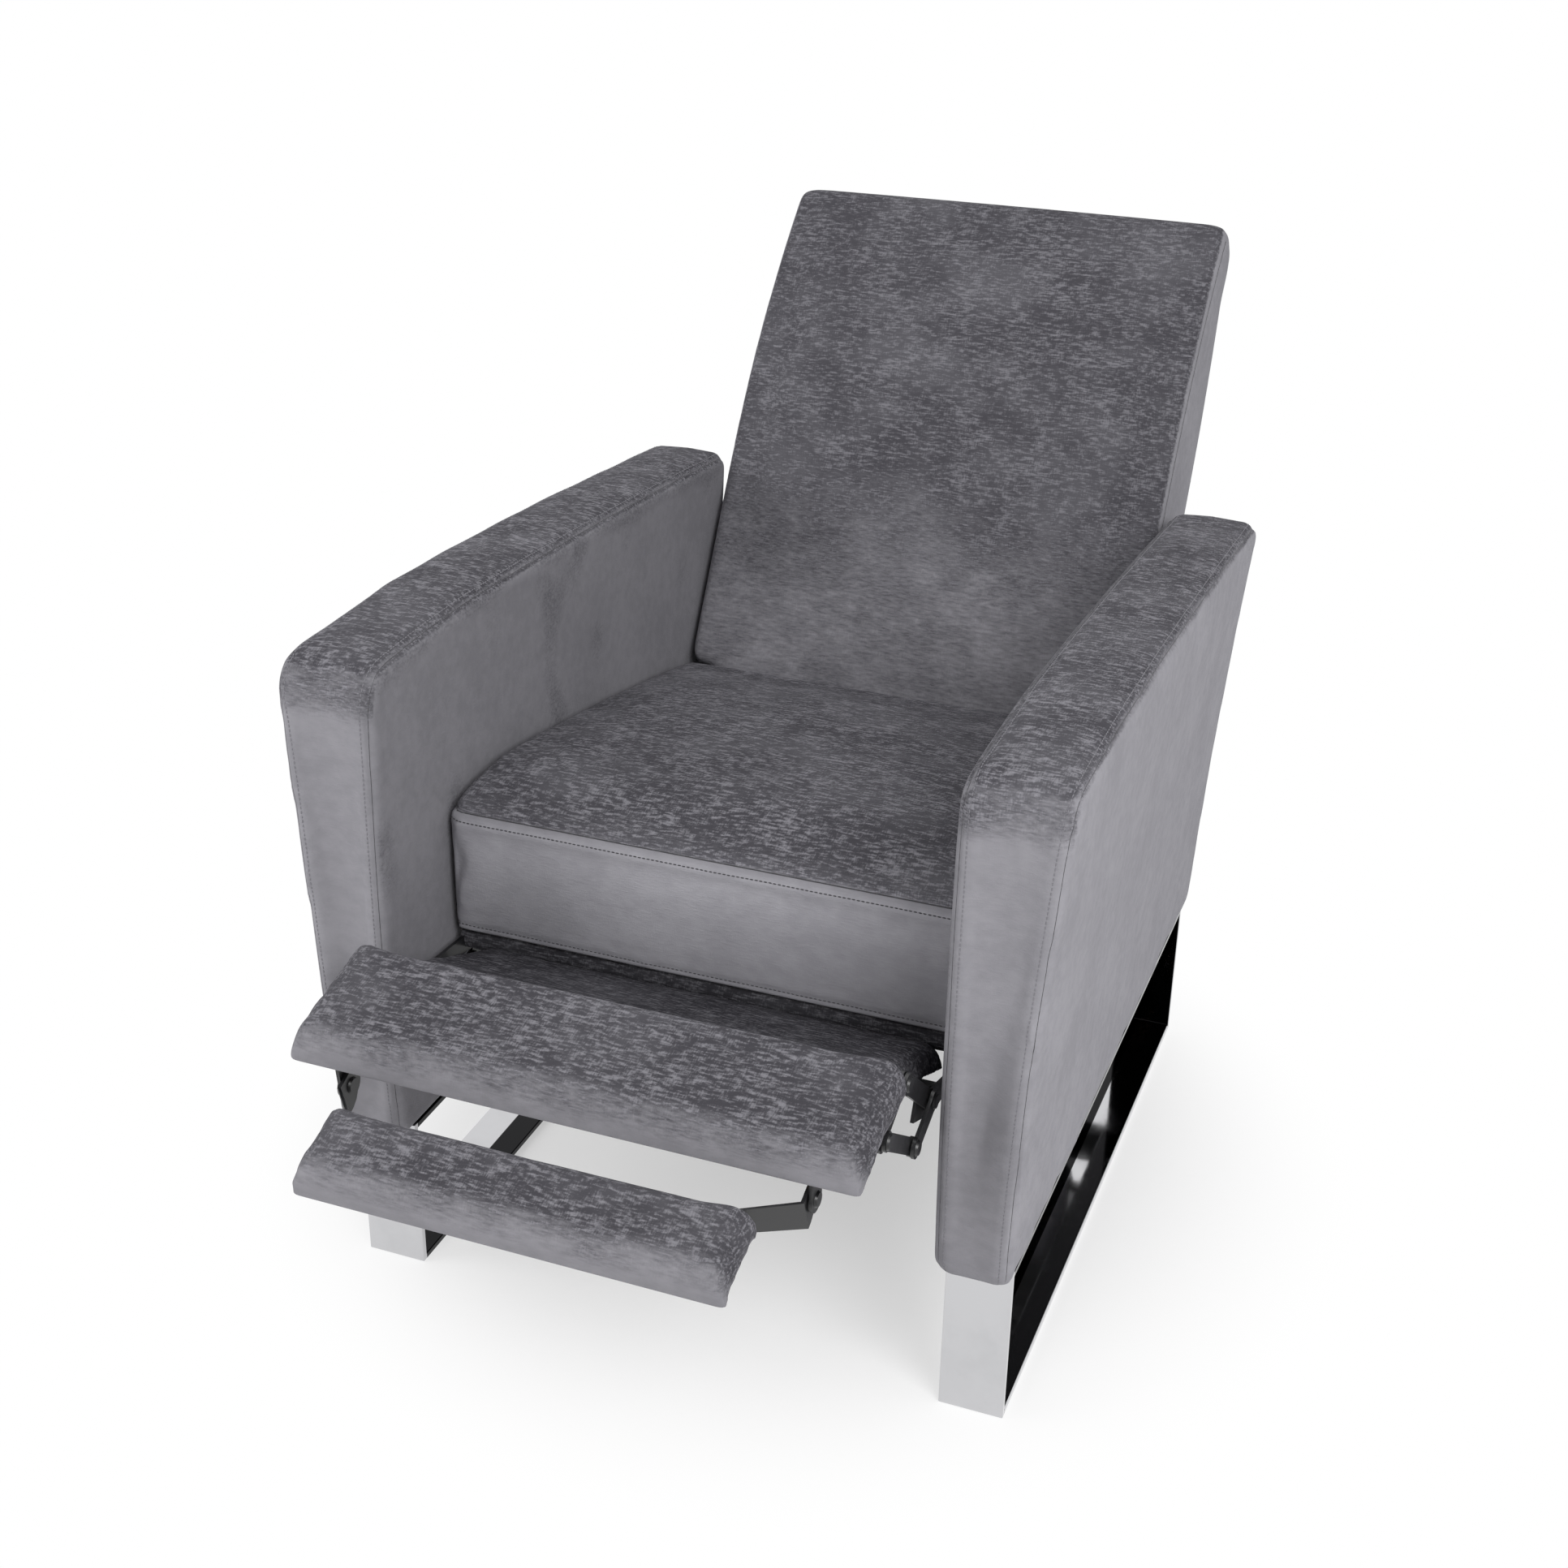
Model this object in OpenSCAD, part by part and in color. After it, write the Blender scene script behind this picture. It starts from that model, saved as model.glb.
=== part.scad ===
// Push-back recliner: two upholstered arms on chrome loop legs, a seat, a back that
// leans, and a footrest of three boards on a steel linkage.
// The origin lies on the floor, midway between the leg loops' ends. +Z is up, -Y is the front.
// Everything is drawn open: footrest out and back reclined, with every joint at zero.
// Left and right are as seen from the front.

/* [Legs] */
// Length of a leg loop, from its front face to its rear face
leg_length = 690; // [620:1:740]
// Height of a leg loop, from the floor to the arm
leg_height = 157; // [120:1:200]
// Width of the flat bar
bar_width = 59; // [40:1:64]
// Thickness of the flat bar
bar_thickness = 6; // [4:0.5:10]

/* [Arms] */
// Clear width between the arms
arm_gap = 506; // [480:1:600]
// Width of an arm at its foot
arm_foot_width = 69; // [66:1:90]
// Width that the outer side gains from foot to top
arm_flare = 27; // [0:1:40]
// Height of the arm's top at its highest point
arm_height = 630; // [590:1:680]
// Reach of the arm's front beyond the leg
arm_overhang = 30; // [10:1:50]
// Lean of the arm's rear edge, foot to top
arm_rear_lean = 47; // [0:1:80]
// Crown of the arm's top
arm_crown = 7; // [0:0.5:12]

/* [Seat] */
// Distance of the seat's front behind the arm's front
seat_setback = 106; // [80:1:140]
// Height of the seat's front top seam
seat_height = 457; // [445:1:490]
// Height of the lower edge of the seat's front
skirt_height = 326; // [322:1:345]
// Slope of the seat's bed, down to the rear
seat_pitch = 8.5; // [6:0.1:10]
// Depth of the seat, from its front to the back
seat_depth = 547; // [530:1:560]
// Crown of the seat's top
seat_crown = 10; // [0:0.5:20]

/* [Back] */
// Length of the back above the seat
back_length = 577; // [480:1:640]
// Angle of the lower back from upright, reclined
back_angle = 29.5; // [26:0.5:34]
// Turn of the back's face over its upper part
back_curl = 21; // [0:1:28]
// Thickness of the lower back
back_thickness = 157; // [140:1:170]
// Thickness of the back at its top
back_top_thickness = 52; // [40:1:80]
// Travel of the back from reclined to upright
back_travel = 22; // [10:1:22]

/* [Footrest] */
// Width of the main board's cushion
footrest_width = 491; // [440:1:491]
// Length of the main board's cushion
footrest_length = 118; // [100:1:126]
// Thickness of the main board's cushion
footrest_thickness = 30; // [26:1:32]
// Slope of the main board, down to the front
footrest_pitch = 14.3; // [8:0.1:20]
// Width of the flipper's cushion
flipper_width = 361; // [300:1:380]
// Length of the flipper's cushion
flipper_length = 72; // [60:1:84]
// Thickness of the flipper's cushion
flipper_thickness = 28; // [24:1:30]
// Slope of the flipper, down to the front
flipper_pitch = 19.6; // [14:0.1:26]
// Width of the middle board's cushion
middle_width = 452; // [400:1:456]
// Length of the middle board's cushion
middle_length = 150; // [124:1:156]

/* [Linkage] */
// Thickness of the steel plates
plate = 3; // [2.5:0.1:3.2]
// Gap between neighbouring plates
plate_gap = 1; // [0.8:0.1:1.2]
// Width of a link
link_width = 19; // [16:0.5:20]
// Radius of the rivets
rivet_radius = 4; // [3:0.1:4.5]

/* [Hidden] */

// Fits and small values shared by all pieces
fit = 0.3;
pin_fit = 0.05;
run_fit = 0.1;
loose_fit = 1.3;
cut = 1;
wood = 22;
head_radius = 7;
head_height = 2;
eye_rise = 1;

// Colours
CHROME = [0.8, 0.8, 0.82];
STEEL = [0.1, 0.1, 0.11];
BOLT = [0.6, 0.6, 0.62];
TIMBER = [0.78, 0.62, 0.42];
FABRIC = [0.42, 0.42, 0.45];
LINING = [0.12, 0.12, 0.13];

// Arms and legs
arm_inner = arm_gap / 2;
arm_foot_outer = arm_inner + arm_foot_width;
arm_front = -leg_length / 2 - arm_overhang;
arm_rear_reach = 15;
arm_rear = leg_length / 2 + arm_rear_reach;
arm_peak = arm_front + 131;
arm_front_drop = 8;
arm_rear_drop = 39;
arm_bulge = 9;
arm_front_round = 32;
arm_foot_round = 18;
arm_seam_round = 9;
arm_corner_round = 9;
arm_front_steps = [0, 0.6, 2, 4.5, 9, 16, 24, arm_front_round];
arm_rear_steps = [12, 9, 5, 2, 0.6, 0];
arm_foam = 14;
arm_frame_x = arm_inner + arm_foam;
arm_frame_width = arm_foot_width - 2 * arm_foam;
arm_frame_margin = 24;
arm_frame_member = 45;
arm_bolt_rail = 50;
weld_gap = 0.04;
bar_x = arm_inner + (arm_foot_width - bar_width) / 2;
leg_screw_radius = 4;
leg_screw_length = 30;
leg_screw_shares = [-0.38, 0, 0.38];
leg_screw_head = 3;
rail_height = 40;
rail_z = leg_height + 8;
front_rail_y = -30;
rear_rail_y = leg_length / 2 - 20;
rail_end = arm_frame_x - fit;

// Seat bed: a plane that the side plates' flanges lie under
seat_front = arm_front + seat_setback;
bed_y = seat_front + 43;
bed_z = 403;
skirt = 7;
bed_front = seat_front + skirt;
seat_rear_frame = seat_front + seat_depth - 52;
rail_depth = 55;
rail_outer = 224;
seat_side = arm_inner - 3;
seat_round = 14;
seat_end_steps = [0, 1.2, 3.5, 7, 11, seat_round];
seat_top_rise = 19;
seat_rear_drop = 66;
back_room = 3;
seat_lip = 4;
skirt_lip = 2;
seat_front_bulges = [[0.3, 2], [0.6, 3], [0.88, 1.5]];
spring_margin = 90;
spring_count = 5;
spring_turns = 7;
spring_wire = 1.9;
spring_swing = 22;
frame_start = bed_front - bed_y + (plate + rail_depth) * tan(seat_pitch) + fit;
frame_length = (seat_rear_frame - bed_front) / cos(seat_pitch)
    - (plate + rail_depth) * tan(seat_pitch);
flange_inner = rail_outer - wood;
tube_radius = 11;
tube_room = 4;

// Plates lie side by side in layers that count inwards from the side plate
layer_outer = arm_inner - 6;
function layer(i) = layer_outer - i * (plate + plate_gap);

// Pivots in the side view, as [y, z]
front_pivot = [bed_y, bed_z - 15];
rear_pivot = front_pivot + [100, -30];
elbow = front_pivot + [-30, -76];
cross_pivot = front_pivot + [-128, -68];
link_foot = cross_pivot + [-45, -17];
board_pivot = cross_pivot + [-63, 54];
bracket_pivot = board_pivot + [-48, -23];
rear_foot = cross_pivot + [100, -30];
footrest_place = board_pivot + [-23, 37];
flipper_pivot = footrest_place + [-91, -78];
flipper_place = footrest_place + [-153, -50];
middle_place = cross_pivot + [88, -8];
middle_thickness = 18;
middle_rise = 24;
ear_shares = [0.72, 0.3];
ear_reach = 30;
ear_start = 34;
ear_run = 60;
ear_depth = 26;
foot_start = 20;
foot_run = 74;
foot_inset = 24;
front_link_turn = 83.9;
crank = 35;
crank_width = link_width + 6;
crank_slot_share = 0.76;
front_eye = link_width / 2 + 1.5;

// Back: its face starts at the seat's rear and its hinge lies inside its thickness
back_place = [seat_front + seat_depth - 2, bed_z - 8];
back_dir = [sin(back_angle), cos(back_angle)];
back_normal = [cos(back_angle), -sin(back_angle)];
hinge_rise = 0;
hinge_depth = 73;
hinge = back_place + hinge_rise * back_dir + hinge_depth * back_normal;
back_straight = 208;
back_tail = 85;
back_half = seat_side - 2;
back_tail_half = 220;
back_step = 6;
back_crown = 7;
back_edge_round = 13;
back_side_crown = 1.5;
back_rear_crown = 0.5;
back_foot_round = 4;
back_tail_inset = 2;
back_steps = [4, 60, 130, back_straight, 260, 310, 360, 410, 455, 495, 525, back_length - 20];
back_top_steps = [14, 9, 5, 2, 0];
back_top_round = 18;
back_cuts = 14;
back_foam = 46;
back_wall = 12;
back_cover = 6;
back_opening = 30;
stile_depth = 46;
stile_width = 24;
strap_thickness = 1.6;
stile_front_depth = back_foam + strap_thickness + 2 * fit;
frame_top = back_length - 70;
frame_room = 12;
tail_wall = 4;
panel_room = 1;
panel_start = back_step + 3;
panel_end = frame_top + frame_room - 2 * panel_room;
tail_start = -back_tail + tail_wall + panel_room;
stile_start = tail_start + panel_room;
stile_margin = 10;
cross_rail_height = 40;
cross_rail_front = stile_front_depth + 8;
cross_rail_places = [-back_tail + 8, 190, frame_top - 50];
bracket_bolt_spots = [[-back_tail + 22, 24], [-22, 34]];
strap_count = 5;
strap_width = 50;
strap_first = 20;
strap_pitch = 88;
slot_inner = back_tail_half + 0.5;
slot_outer = back_half - 11;
bracket_x = slot_inner + 3.5;
bracket_width = 22;
hinge_arm_x = bracket_x + plate + 2;
boss_radius = 16;
boss_room = 8;
slot_room = 0.4;
slot_front = 12;
lever = 122;
lever_lean = back_travel / 2;
lever_pin = hinge + lever * [-sin(lever_lean), -cos(lever_lean)];
crank_lean = front_link_turn / 2;
crank_pin = rear_pivot + crank * [-sin(crank_lean), -cos(crank_lean)];

// Board cushions
board_thickness = 10;
board_inset = 11;
board_crown = 3;
pad_foot_round = 3;
pad_top_round = 24;
pad_plan_share = 0.15;
pad_end_steps = [0, 0.8, 2.4, 5, 9, 15, 22];
pad_end_round = 22;
bracket_strip = 10;
ear_overlap = 2;
ear_length = 66;
ear_corner = 6;
ear_drop = 14;
flange_inset = 8;
flipper_ear_run = 34;
flipper_ear_side = 9;
flipper_ear_radius = 11;
// Outline of the flipper bracket's hinge end about its pivot, and of its foot's rear edge
cheek_outline = [[2, 12.8], [-14, 12], [-14, -21], [-8, -20.5], [-1, -17.5], [4, -12.4]];
cheek_radius = 13;
cheek_fold = 1;
foot_edge = [0.5, 1.5];
foot_top = -9;
foot_depth = 10;
foot_tip = [[14, 6], [30, 13]];
foot_width = 24;
ear_x = layer(3);
flipper_ear_x = 202;
flipper_plate_x = flipper_ear_x - plate - plate_gap;
flipper_foot_x = 165;

// Side view helpers
// Turns a side-view point about the origin, front end down
function turned(p, a) = [p[0] * cos(a) - p[1] * sin(a), p[0] * sin(a) + p[1] * cos(a)];
// A side-view point in the frame of a board that starts at place and slopes by pitch
function on_board(p, place, pitch) = turned(p - place, -pitch);
function arc(c, r, a0, a1, n) =
    [for (i = [0 : n]) c + r * [cos(a0 + (a1 - a0) * i / n), sin(a0 + (a1 - a0) * i / n)]];
function mix(a, b, t) = a + (b - a) * t;
// How far a round of radius r draws an edge in, at a distance e from the end
function draw_in(e, r) = e >= r ? 0 : r - sqrt(r * r - (r - e) * (r - e));
// Height of the seat bed above a place along Y
function bed_height(y) = bed_z - (y - bed_y) * tan(seat_pitch);

// Extrudes a side view, drawn as x for Y and y for Z, from x0 over a width
module side(x0, width) {
    translate([x0, 0, 0])
        rotate([90, 0, 90])
            linear_extrude(width)
                children();
}

// Both sides of the chair
module both() {
    children();
    mirror([1, 0, 0]) children();
}

// Straight link outline: a bar between two round eyes that stand a little proud of it
module strip(a, b, width) {
    d = b - a;
    bar = width - 2 * eye_rise;
    translate(a) circle(d = width, $fn = 48);
    translate(b) circle(d = width, $fn = 48);
    translate(a)
        rotate(atan2(d[1], d[0]))
            translate([0, -bar / 2]) square([norm(d), bar]);
}

// Straight slot between two places
module slot(a, b, r) {
    d = b - a;
    bore(a, r);
    bore(b, r);
    translate(a)
        rotate(atan2(d[1], d[0]))
            translate([0, -r + pin_fit]) square([norm(d), 2 * (r - pin_fit)]);
}

module bore(p, r) {
    translate(p) circle(r = r, $fn = 48);
}

// Rivet through plates from x0 to x1, with a head at each end
module rivet(p, x0, x1) {
    translate([x0 - head_height, p[0], p[1]])
        rotate([0, 90, 0])
            rotate_extrude($fn = 48)
                polygon([[0, 0], [head_radius - head_height / 2, 0], [head_radius, head_height],
                    [rivet_radius, head_height], [rivet_radius, head_height + x1 - x0],
                    [head_radius, head_height + x1 - x0],
                    [head_radius - head_height / 2, 2 * head_height + x1 - x0],
                    [0, 2 * head_height + x1 - x0]]);
}

function reversed(list) = [for (i = [len(list) - 1 : -1 : 0]) list[i]];

// Skin through a list of rings, each a closed list of points, with flat ends. Seen from
// beyond the last ring, the points run counterclockwise.
module loft(rings) {
    m = len(rings[0]);
    n = len(rings);
    sides = [for (i = [0 : n - 2], j = [0 : m - 1])
        let (a = i * m + j, b = i * m + (j + 1) % m)
        each [[a, b, b + m], [a, b + m, a + m]]];
    ends = [[for (j = [0 : m - 1]) m - 1 - j], [for (j = [0 : m - 1]) (n - 1) * m + j]];
    polyhedron(points = [for (r = rings) each r], faces = concat(sides, ends), convexity = 6);
}

// Places a board and what is fixed to it: y runs from the rear edge to the front, z is the top
module board_frame(place, pitch) {
    translate([0, place[0], place[1]]) rotate([pitch, 0, 0]) children();
}

// Outline of a padded board's section in the board's own frame: flat below, with its top
// lowered by d and rolled down to both edges
function pad_section(length, thickness, d, crown) =
    let (y0 = -length + pad_plan_share * d, y1 = -pad_plan_share * d, z0 = -thickness, z1 = -d,
        foot = pad_foot_round, r = min(pad_top_round, thickness - d - foot - fit),
        flat0 = y0 + r, flat1 = y1 - r)
    concat(
        arc([y0 + foot, z0 + foot], foot, 180, 270, 2),
        arc([y1 - foot, z0 + foot], foot, 270, 360, 2),
        arc([y1 - r, z1 - r], r, 0, 90, 5),
        [for (i = [1 : 5]) let (t = i / 6) [mix(flat1, flat0, t), z1 + crown * 4 * t * (1 - t)]],
        arc([y0 + r, z1 - r], r, 90, 180, 5));

// Padded board: crowned top, ends rolled down and a pocket below for its board
module pad(width, length, thickness) {
    end_round = min(pad_end_round, thickness - board_thickness + 2);
    half = [for (e = pad_end_steps) [e, draw_in(e, end_round)]];
    xs = concat([for (h = half) [-width / 2 + h[0], h[1]]],
        [for (t = [-0.55, 0, 0.55]) [t * width / 2, 0]],
        [for (h = reversed(half)) [width / 2 - h[0], h[1]]]);
    difference() {
        loft(reversed([for (p = xs)
            let (share = p[0] / (width / 2), crown = board_crown * (1 - share * share))
            [for (q = pad_section(length, thickness, p[1], crown)) [p[0], q[0], q[1]]]]));
        translate([-width / 2 + board_inset - fit, -length + board_inset - fit,
                -thickness - cut])
            cube([width - 2 * board_inset + 2 * fit, length - 2 * board_inset + 2 * fit,
                board_thickness + fit + cut]);
    }
}

module board(width, length, thickness) {
    translate([-width / 2 + board_inset, -length + board_inset, -thickness])
        cube([width - 2 * board_inset, length - 2 * board_inset, board_thickness]);
}

// Legs

// Closed loop under one arm: four flat bars with mitred ends, a hairline apart at the welds
module leg_loop() {
    difference() {
        side(bar_x, bar_width)
            difference() {
                translate([-leg_length / 2, 0]) square([leg_length, leg_height]);
                translate([-leg_length / 2 + bar_thickness, bar_thickness])
                    square([leg_length - 2 * bar_thickness, leg_height - 2 * bar_thickness]);
                for (y = [-1, 1], z = [-1, 1])
                    translate([y * leg_length / 2, (1 + z) * leg_height / 2])
                        rotate(45 * y * z)
                            square([4 * bar_thickness, weld_gap], center = true);
            }
        leg_screw_holes(leg_screw_radius + pin_fit, -cut);
    }
}

// Places for the screws that hold a loop to its arm frame
module leg_screw_places() {
    for (share = leg_screw_shares)
        translate([arm_frame_x + arm_frame_width / 2, share * leg_length,
                leg_height - bar_thickness])
            children();
}

module leg_screw_holes(radius, start) {
    leg_screw_places()
        translate([0, 0, start])
            cylinder(r = radius, h = bar_thickness + leg_screw_length + cut - start, $fn = 32);
}

module leg_screws() {
    color(BOLT) both() leg_screw_places() {
        translate([0, 0, -leg_screw_head])
            cylinder(r1 = leg_screw_radius, r2 = head_radius, h = leg_screw_head, $fn = 32);
        cylinder(r = leg_screw_radius, h = bar_thickness + leg_screw_length, $fn = 32);
    }
}

// Arms

// Height of the arm's top seam along its length
function arm_top(y) = y < arm_peak
    ? arm_height - arm_front_drop * pow((arm_peak - y) / (arm_peak - arm_front), 1.5)
    : arm_height - arm_rear_drop * pow((y - arm_peak) / (arm_rear + arm_rear_lean - arm_peak), 1.5);

// Reach of the arm's outer side at a height
function arm_outer(z) =
    arm_foot_outer + arm_flare * pow(max(0, (z - leg_height) / (arm_height - leg_height)), 1.5);

function arm_front_at(z) =
    arm_front - arm_bulge * sin(180 * (z - leg_height) / (arm_height - leg_height));
function arm_rear_at(z) =
    arm_rear + arm_rear_lean * (z - leg_height) / (arm_height - leg_height);

// One ring across the arm: e_front and e_rear are the distances from the two ends
function arm_ring(share, e_front, e_rear) =
    let (e = min(e_front, e_rear),
        d = draw_in(e, arm_seam_round),
        y_top = mix(arm_front + e_front, arm_rear + arm_rear_lean - e_rear, share),
        top = arm_top(y_top) - draw_in(e_front, arm_front_round) - draw_in(e_rear, arm_seam_round),
        foot = leg_height + draw_in(e_front, arm_foot_round),
        r = arm_corner_round,
        inner = arm_inner + d,
        outline = concat(
            arc([inner + r, foot + r], r, 270, 180, 2),
            [for (t = [0.35, 0.7]) [inner, mix(foot, top, t)]],
            arc([inner + r, top - r], r, 180, 90, 3),
            [for (t = [0.25, 0.5, 0.75])
                [mix(inner + r, arm_outer(top) - d - r, t), top + arm_crown * 4 * t * (1 - t)]],
            arc([arm_outer(top) - d - r, top - r], r, 90, 0, 3),
            [for (t = [0.8, 0.6, 0.4, 0.2])
                [arm_outer(mix(foot, top, t)) - d, mix(foot, top, t)]],
            arc([arm_outer(foot) - d - r, foot + r], r, 0, -90, 2)))
    [for (q = outline)
        [q[0], mix(arm_front_at(q[1]) + e_front, arm_rear_at(q[1]) - e_rear, share), q[1]]];

module arm_shape() {
    far = leg_length;
    loft(reversed(concat(
        [for (e = arm_front_steps) arm_ring(0, e, far)],
        [for (t = [0.2, 0.4, 0.6, 0.8]) arm_ring(t, arm_front_round, arm_rear_steps[0])],
        [for (e = arm_rear_steps) arm_ring(1, far, e)])));
}

// Side view of the arm frame, drawn in by d from the outline that it fills
module arm_frame_outline(d) {
    m = arm_frame_margin + d;
    polygon([[arm_front + m, leg_height], [arm_front + m, arm_height - 2 * m],
        [arm_rear + arm_rear_lean - 1.5 * m, arm_height - arm_rear_drop - 2 * m],
        [arm_rear - m, leg_height]]);
}

// Frame of four outer members with a middle post and a sloping rail that takes the plates' bolts
module arm_frame() {
    difference() {
        side(arm_frame_x, arm_frame_width)
            difference() {
                arm_frame_outline(0);
                difference() {
                    arm_frame_outline(arm_frame_member);
                    translate([arm_front, 0]) square([leg_length * 2, leg_height + arm_frame_member]);
                    translate([-arm_frame_member / 2, 0]) square([arm_frame_member, arm_height]);
                    translate([bed_y, bed_z - plate - bolt_drop])
                        rotate(-seat_pitch)
                            square([2 * leg_length, arm_bolt_rail], center = true);
                }
            }
        leg_screw_holes(leg_screw_radius + pin_fit, -cut);
        plate_bolt_holes(rivet_radius + pin_fit);
    }
}

// Padded cover, open below for its frame and inside for the rails and the bolts
module arm_cover() {
    difference() {
        arm_shape();
        side(arm_frame_x - fit, arm_frame_width + 2 * fit)
            union() {
                arm_frame_outline(-fit);
                translate([arm_front + arm_frame_margin, leg_height - cut])
                    square([arm_rear - arm_front - 2 * arm_frame_margin, 2 * cut]);
            }
        rail_cuts();
        plate_bolt_holes(rivet_radius + fit);
    }
}

// Rails between the arms

module rail(y) {
    translate([-rail_end, y, rail_z]) cube([2 * rail_end, wood, rail_height]);
}

module rail_cuts() {
    for (y = [front_rail_y, rear_rail_y])
        translate([arm_inner - cut, y - fit, rail_z - fit])
            cube([rail_end - arm_inner + 2 * cut, wood + 2 * fit, rail_height + 2 * fit]);
}

// Side plates and what fastens them

// Puts children in the frame of the seat bed: z is zero on the bed, y runs to the rear
module bed_frame() {
    translate([0, bed_y, bed_z]) rotate([-seat_pitch, 0, 0]) children();
}

plate_start = -17;
flange_length = frame_start + frame_length - plate_start;
web_depth = 36;
bolt_runs = [46, 186, 376];
bolt_drop = 10;
bolt_places = [for (run = bolt_runs) [bed_y + run, bed_height(bed_y + run) - plate - bolt_drop]];
arm_bolt_runs = [150, 110];
arm_bolt_drop = 18;
arm_bolt_places = [for (run = arm_bolt_runs)
    [hinge[0] - run, bed_height(hinge[0] - run) - plate - arm_bolt_drop]];
plate_end_margin = 14;
plate_end = (arm_bolt_places[1][0] + plate_end_margin - bed_y) / cos(seat_pitch);

module plate_bolt_holes(radius) {
    for (p = bolt_places)
        translate([layer_outer - 2 * plate, p[0], p[1]])
            rotate([0, 90, 0])
                cylinder(r = radius, h = arm_frame_x + arm_frame_width - layer_outer, $fn = 32);
}

// Angle section: a flange under the seat frame and a web that holds the fixed pivots
module side_plate() {
    difference() {
        union() {
            bed_frame()
                translate([flange_inner, plate_start, -plate])
                    cube([layer_outer - flange_inner, flange_length, plate]);
            bed_frame()
                translate([layer(0) - plate, plate_start, -web_depth])
                    cube([plate, plate_end - plate_start, web_depth]);
            side(layer(0) - plate, plate) {
                bore(rear_pivot, boss_radius);
                bore(front_pivot, boss_radius - 2);
            }
        }
        side(layer(0) - plate - cut, plate + 2 * cut) {
            for (p = [front_pivot, rear_pivot]) bore(p, rivet_radius + pin_fit);
            for (p = bolt_places) bore(p, rivet_radius + pin_fit);
            for (p = arm_bolt_places) bore(p, rivet_radius + pin_fit);
        }
    }
}

// Plate that carries the back's hinge, inboard of the side plate
module hinge_arm() {
    side(hinge_arm_x, plate)
        difference() {
            union() {
                strip(arm_bolt_places[0], arm_bolt_places[1], 2 * boss_radius - 8);
                strip(arm_bolt_places[1], hinge, 2 * boss_radius - 12);
                bore(hinge, boss_radius - 4);
            }
            bore(hinge, rivet_radius + pin_fit);
            for (p = arm_bolt_places) bore(p, rivet_radius + pin_fit);
        }
}

// Shoulder bolts into the arm frames and spacer bolts that carry the hinge arms
module plate_bolts() {
    color(BOLT) both() {
        for (p = bolt_places)
            translate([layer_outer - plate - head_height, p[0], p[1]])
                rotate([0, 90, 0])
                    rotate_extrude($fn = 48)
                        polygon([[0, 0], [head_radius, 0], [head_radius, head_height],
                            [rivet_radius, head_height], [rivet_radius, head_height + plate],
                            [head_radius, head_height + plate],
                            [head_radius, head_height + plate + arm_inner - layer_outer - fit],
                            [rivet_radius, head_height + plate + arm_inner - layer_outer - fit],
                            [rivet_radius, arm_frame_x - layer_outer + arm_frame_width - plate],
                            [0, arm_frame_x - layer_outer + arm_frame_width - plate]]);
        for (p = arm_bolt_places)
            translate([hinge_arm_x - head_height, p[0], p[1]])
                rotate([0, 90, 0])
                    rotate_extrude($fn = 48)
                        polygon([[0, 0], [head_radius, 0], [head_radius, head_height],
                            [rivet_radius, head_height], [rivet_radius, head_height + plate],
                            [head_radius, head_height + plate],
                            [head_radius, head_height + layer(0) - plate - hinge_arm_x],
                            [rivet_radius, head_height + layer(0) - plate - hinge_arm_x],
                            [rivet_radius, head_height + layer(0) - hinge_arm_x],
                            [head_radius, head_height + layer(0) - hinge_arm_x],
                            [head_radius, 2 * head_height + layer(0) - hinge_arm_x],
                            [0, 2 * head_height + layer(0) - hinge_arm_x]]);
    }
}

module base_rivets() {
    color(STEEL) both() {
        for (p = [front_pivot, rear_pivot]) rivet(p, layer(1) - plate - fit, layer(0));
        rivet(hinge, bracket_x - fit, hinge_arm_x + plate);
    }
}

// Seat

// Wooden frame: side rails under the flanges, bored for the drive tube, and two cross
// rails whose tops lie on the bed
module seat_frame() {
    color(TIMBER)
        difference() {
            bed_frame() {
                for (s = [-1, 1])
                    translate([s * (rail_outer - wood / 2) - wood / 2, frame_start, -plate - rail_depth])
                        cube([wood, frame_length, rail_depth]);
                for (y = [frame_start, frame_start + frame_length - wood])
                    translate([-flange_inner, y, -plate - rail_depth])
                        cube([2 * flange_inner, wood, plate + rail_depth]);
            }
            side(-rail_outer - cut, 2 * rail_outer + 2 * cut)
                bore(rear_pivot, tube_radius + tube_room);
        }
}

// Zigzag wires from the front rail to the rear rail, sagging a little below the bed
module spring(x) {
    y0 = frame_start + wood / 2;
    y1 = frame_start + frame_length - wood / 2;
    steps = spring_turns * 6;
    path = [for (i = [0 : steps])
        let (t = i / steps)
        [x + spring_swing * sin(360 * spring_turns * t) * min(1, min(t, 1 - t) * 20),
            mix(y0, y1, t), spring_wire + pin_fit]];
    loft([for (i = [0 : steps])
        let (a = path[max(0, i - 1)], b = path[min(steps, i + 1)], d = (b - a) / norm(b - a),
            u = [d[1], -d[0], 0], v = [0, 0, 1])
        [for (k = [0 : 4]) path[i] + spring_wire * (cos(72 * k) * u + sin(72 * k) * v)]]);
}

module seat_springs() {
    color(BOLT)
        bed_frame()
            for (i = [0 : spring_count - 1])
                spring((i - (spring_count - 1) / 2) * (2 * rail_outer - spring_margin) / spring_count);
}

// Foremost place, at a height, that the back's face reaches between reclined and upright
function back_face_at(z) = min([for (a = [back_angle, back_angle - back_travel])
    hinge[0] + ((z - hinge[1]) * sin(a) - hinge_depth) / cos(a)]);
seat_rear_top = seat_height - seat_rear_drop + seat_crown;
seat_rear_foot = back_face_at(bed_height(seat_rear_frame)) - back_room;

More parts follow.
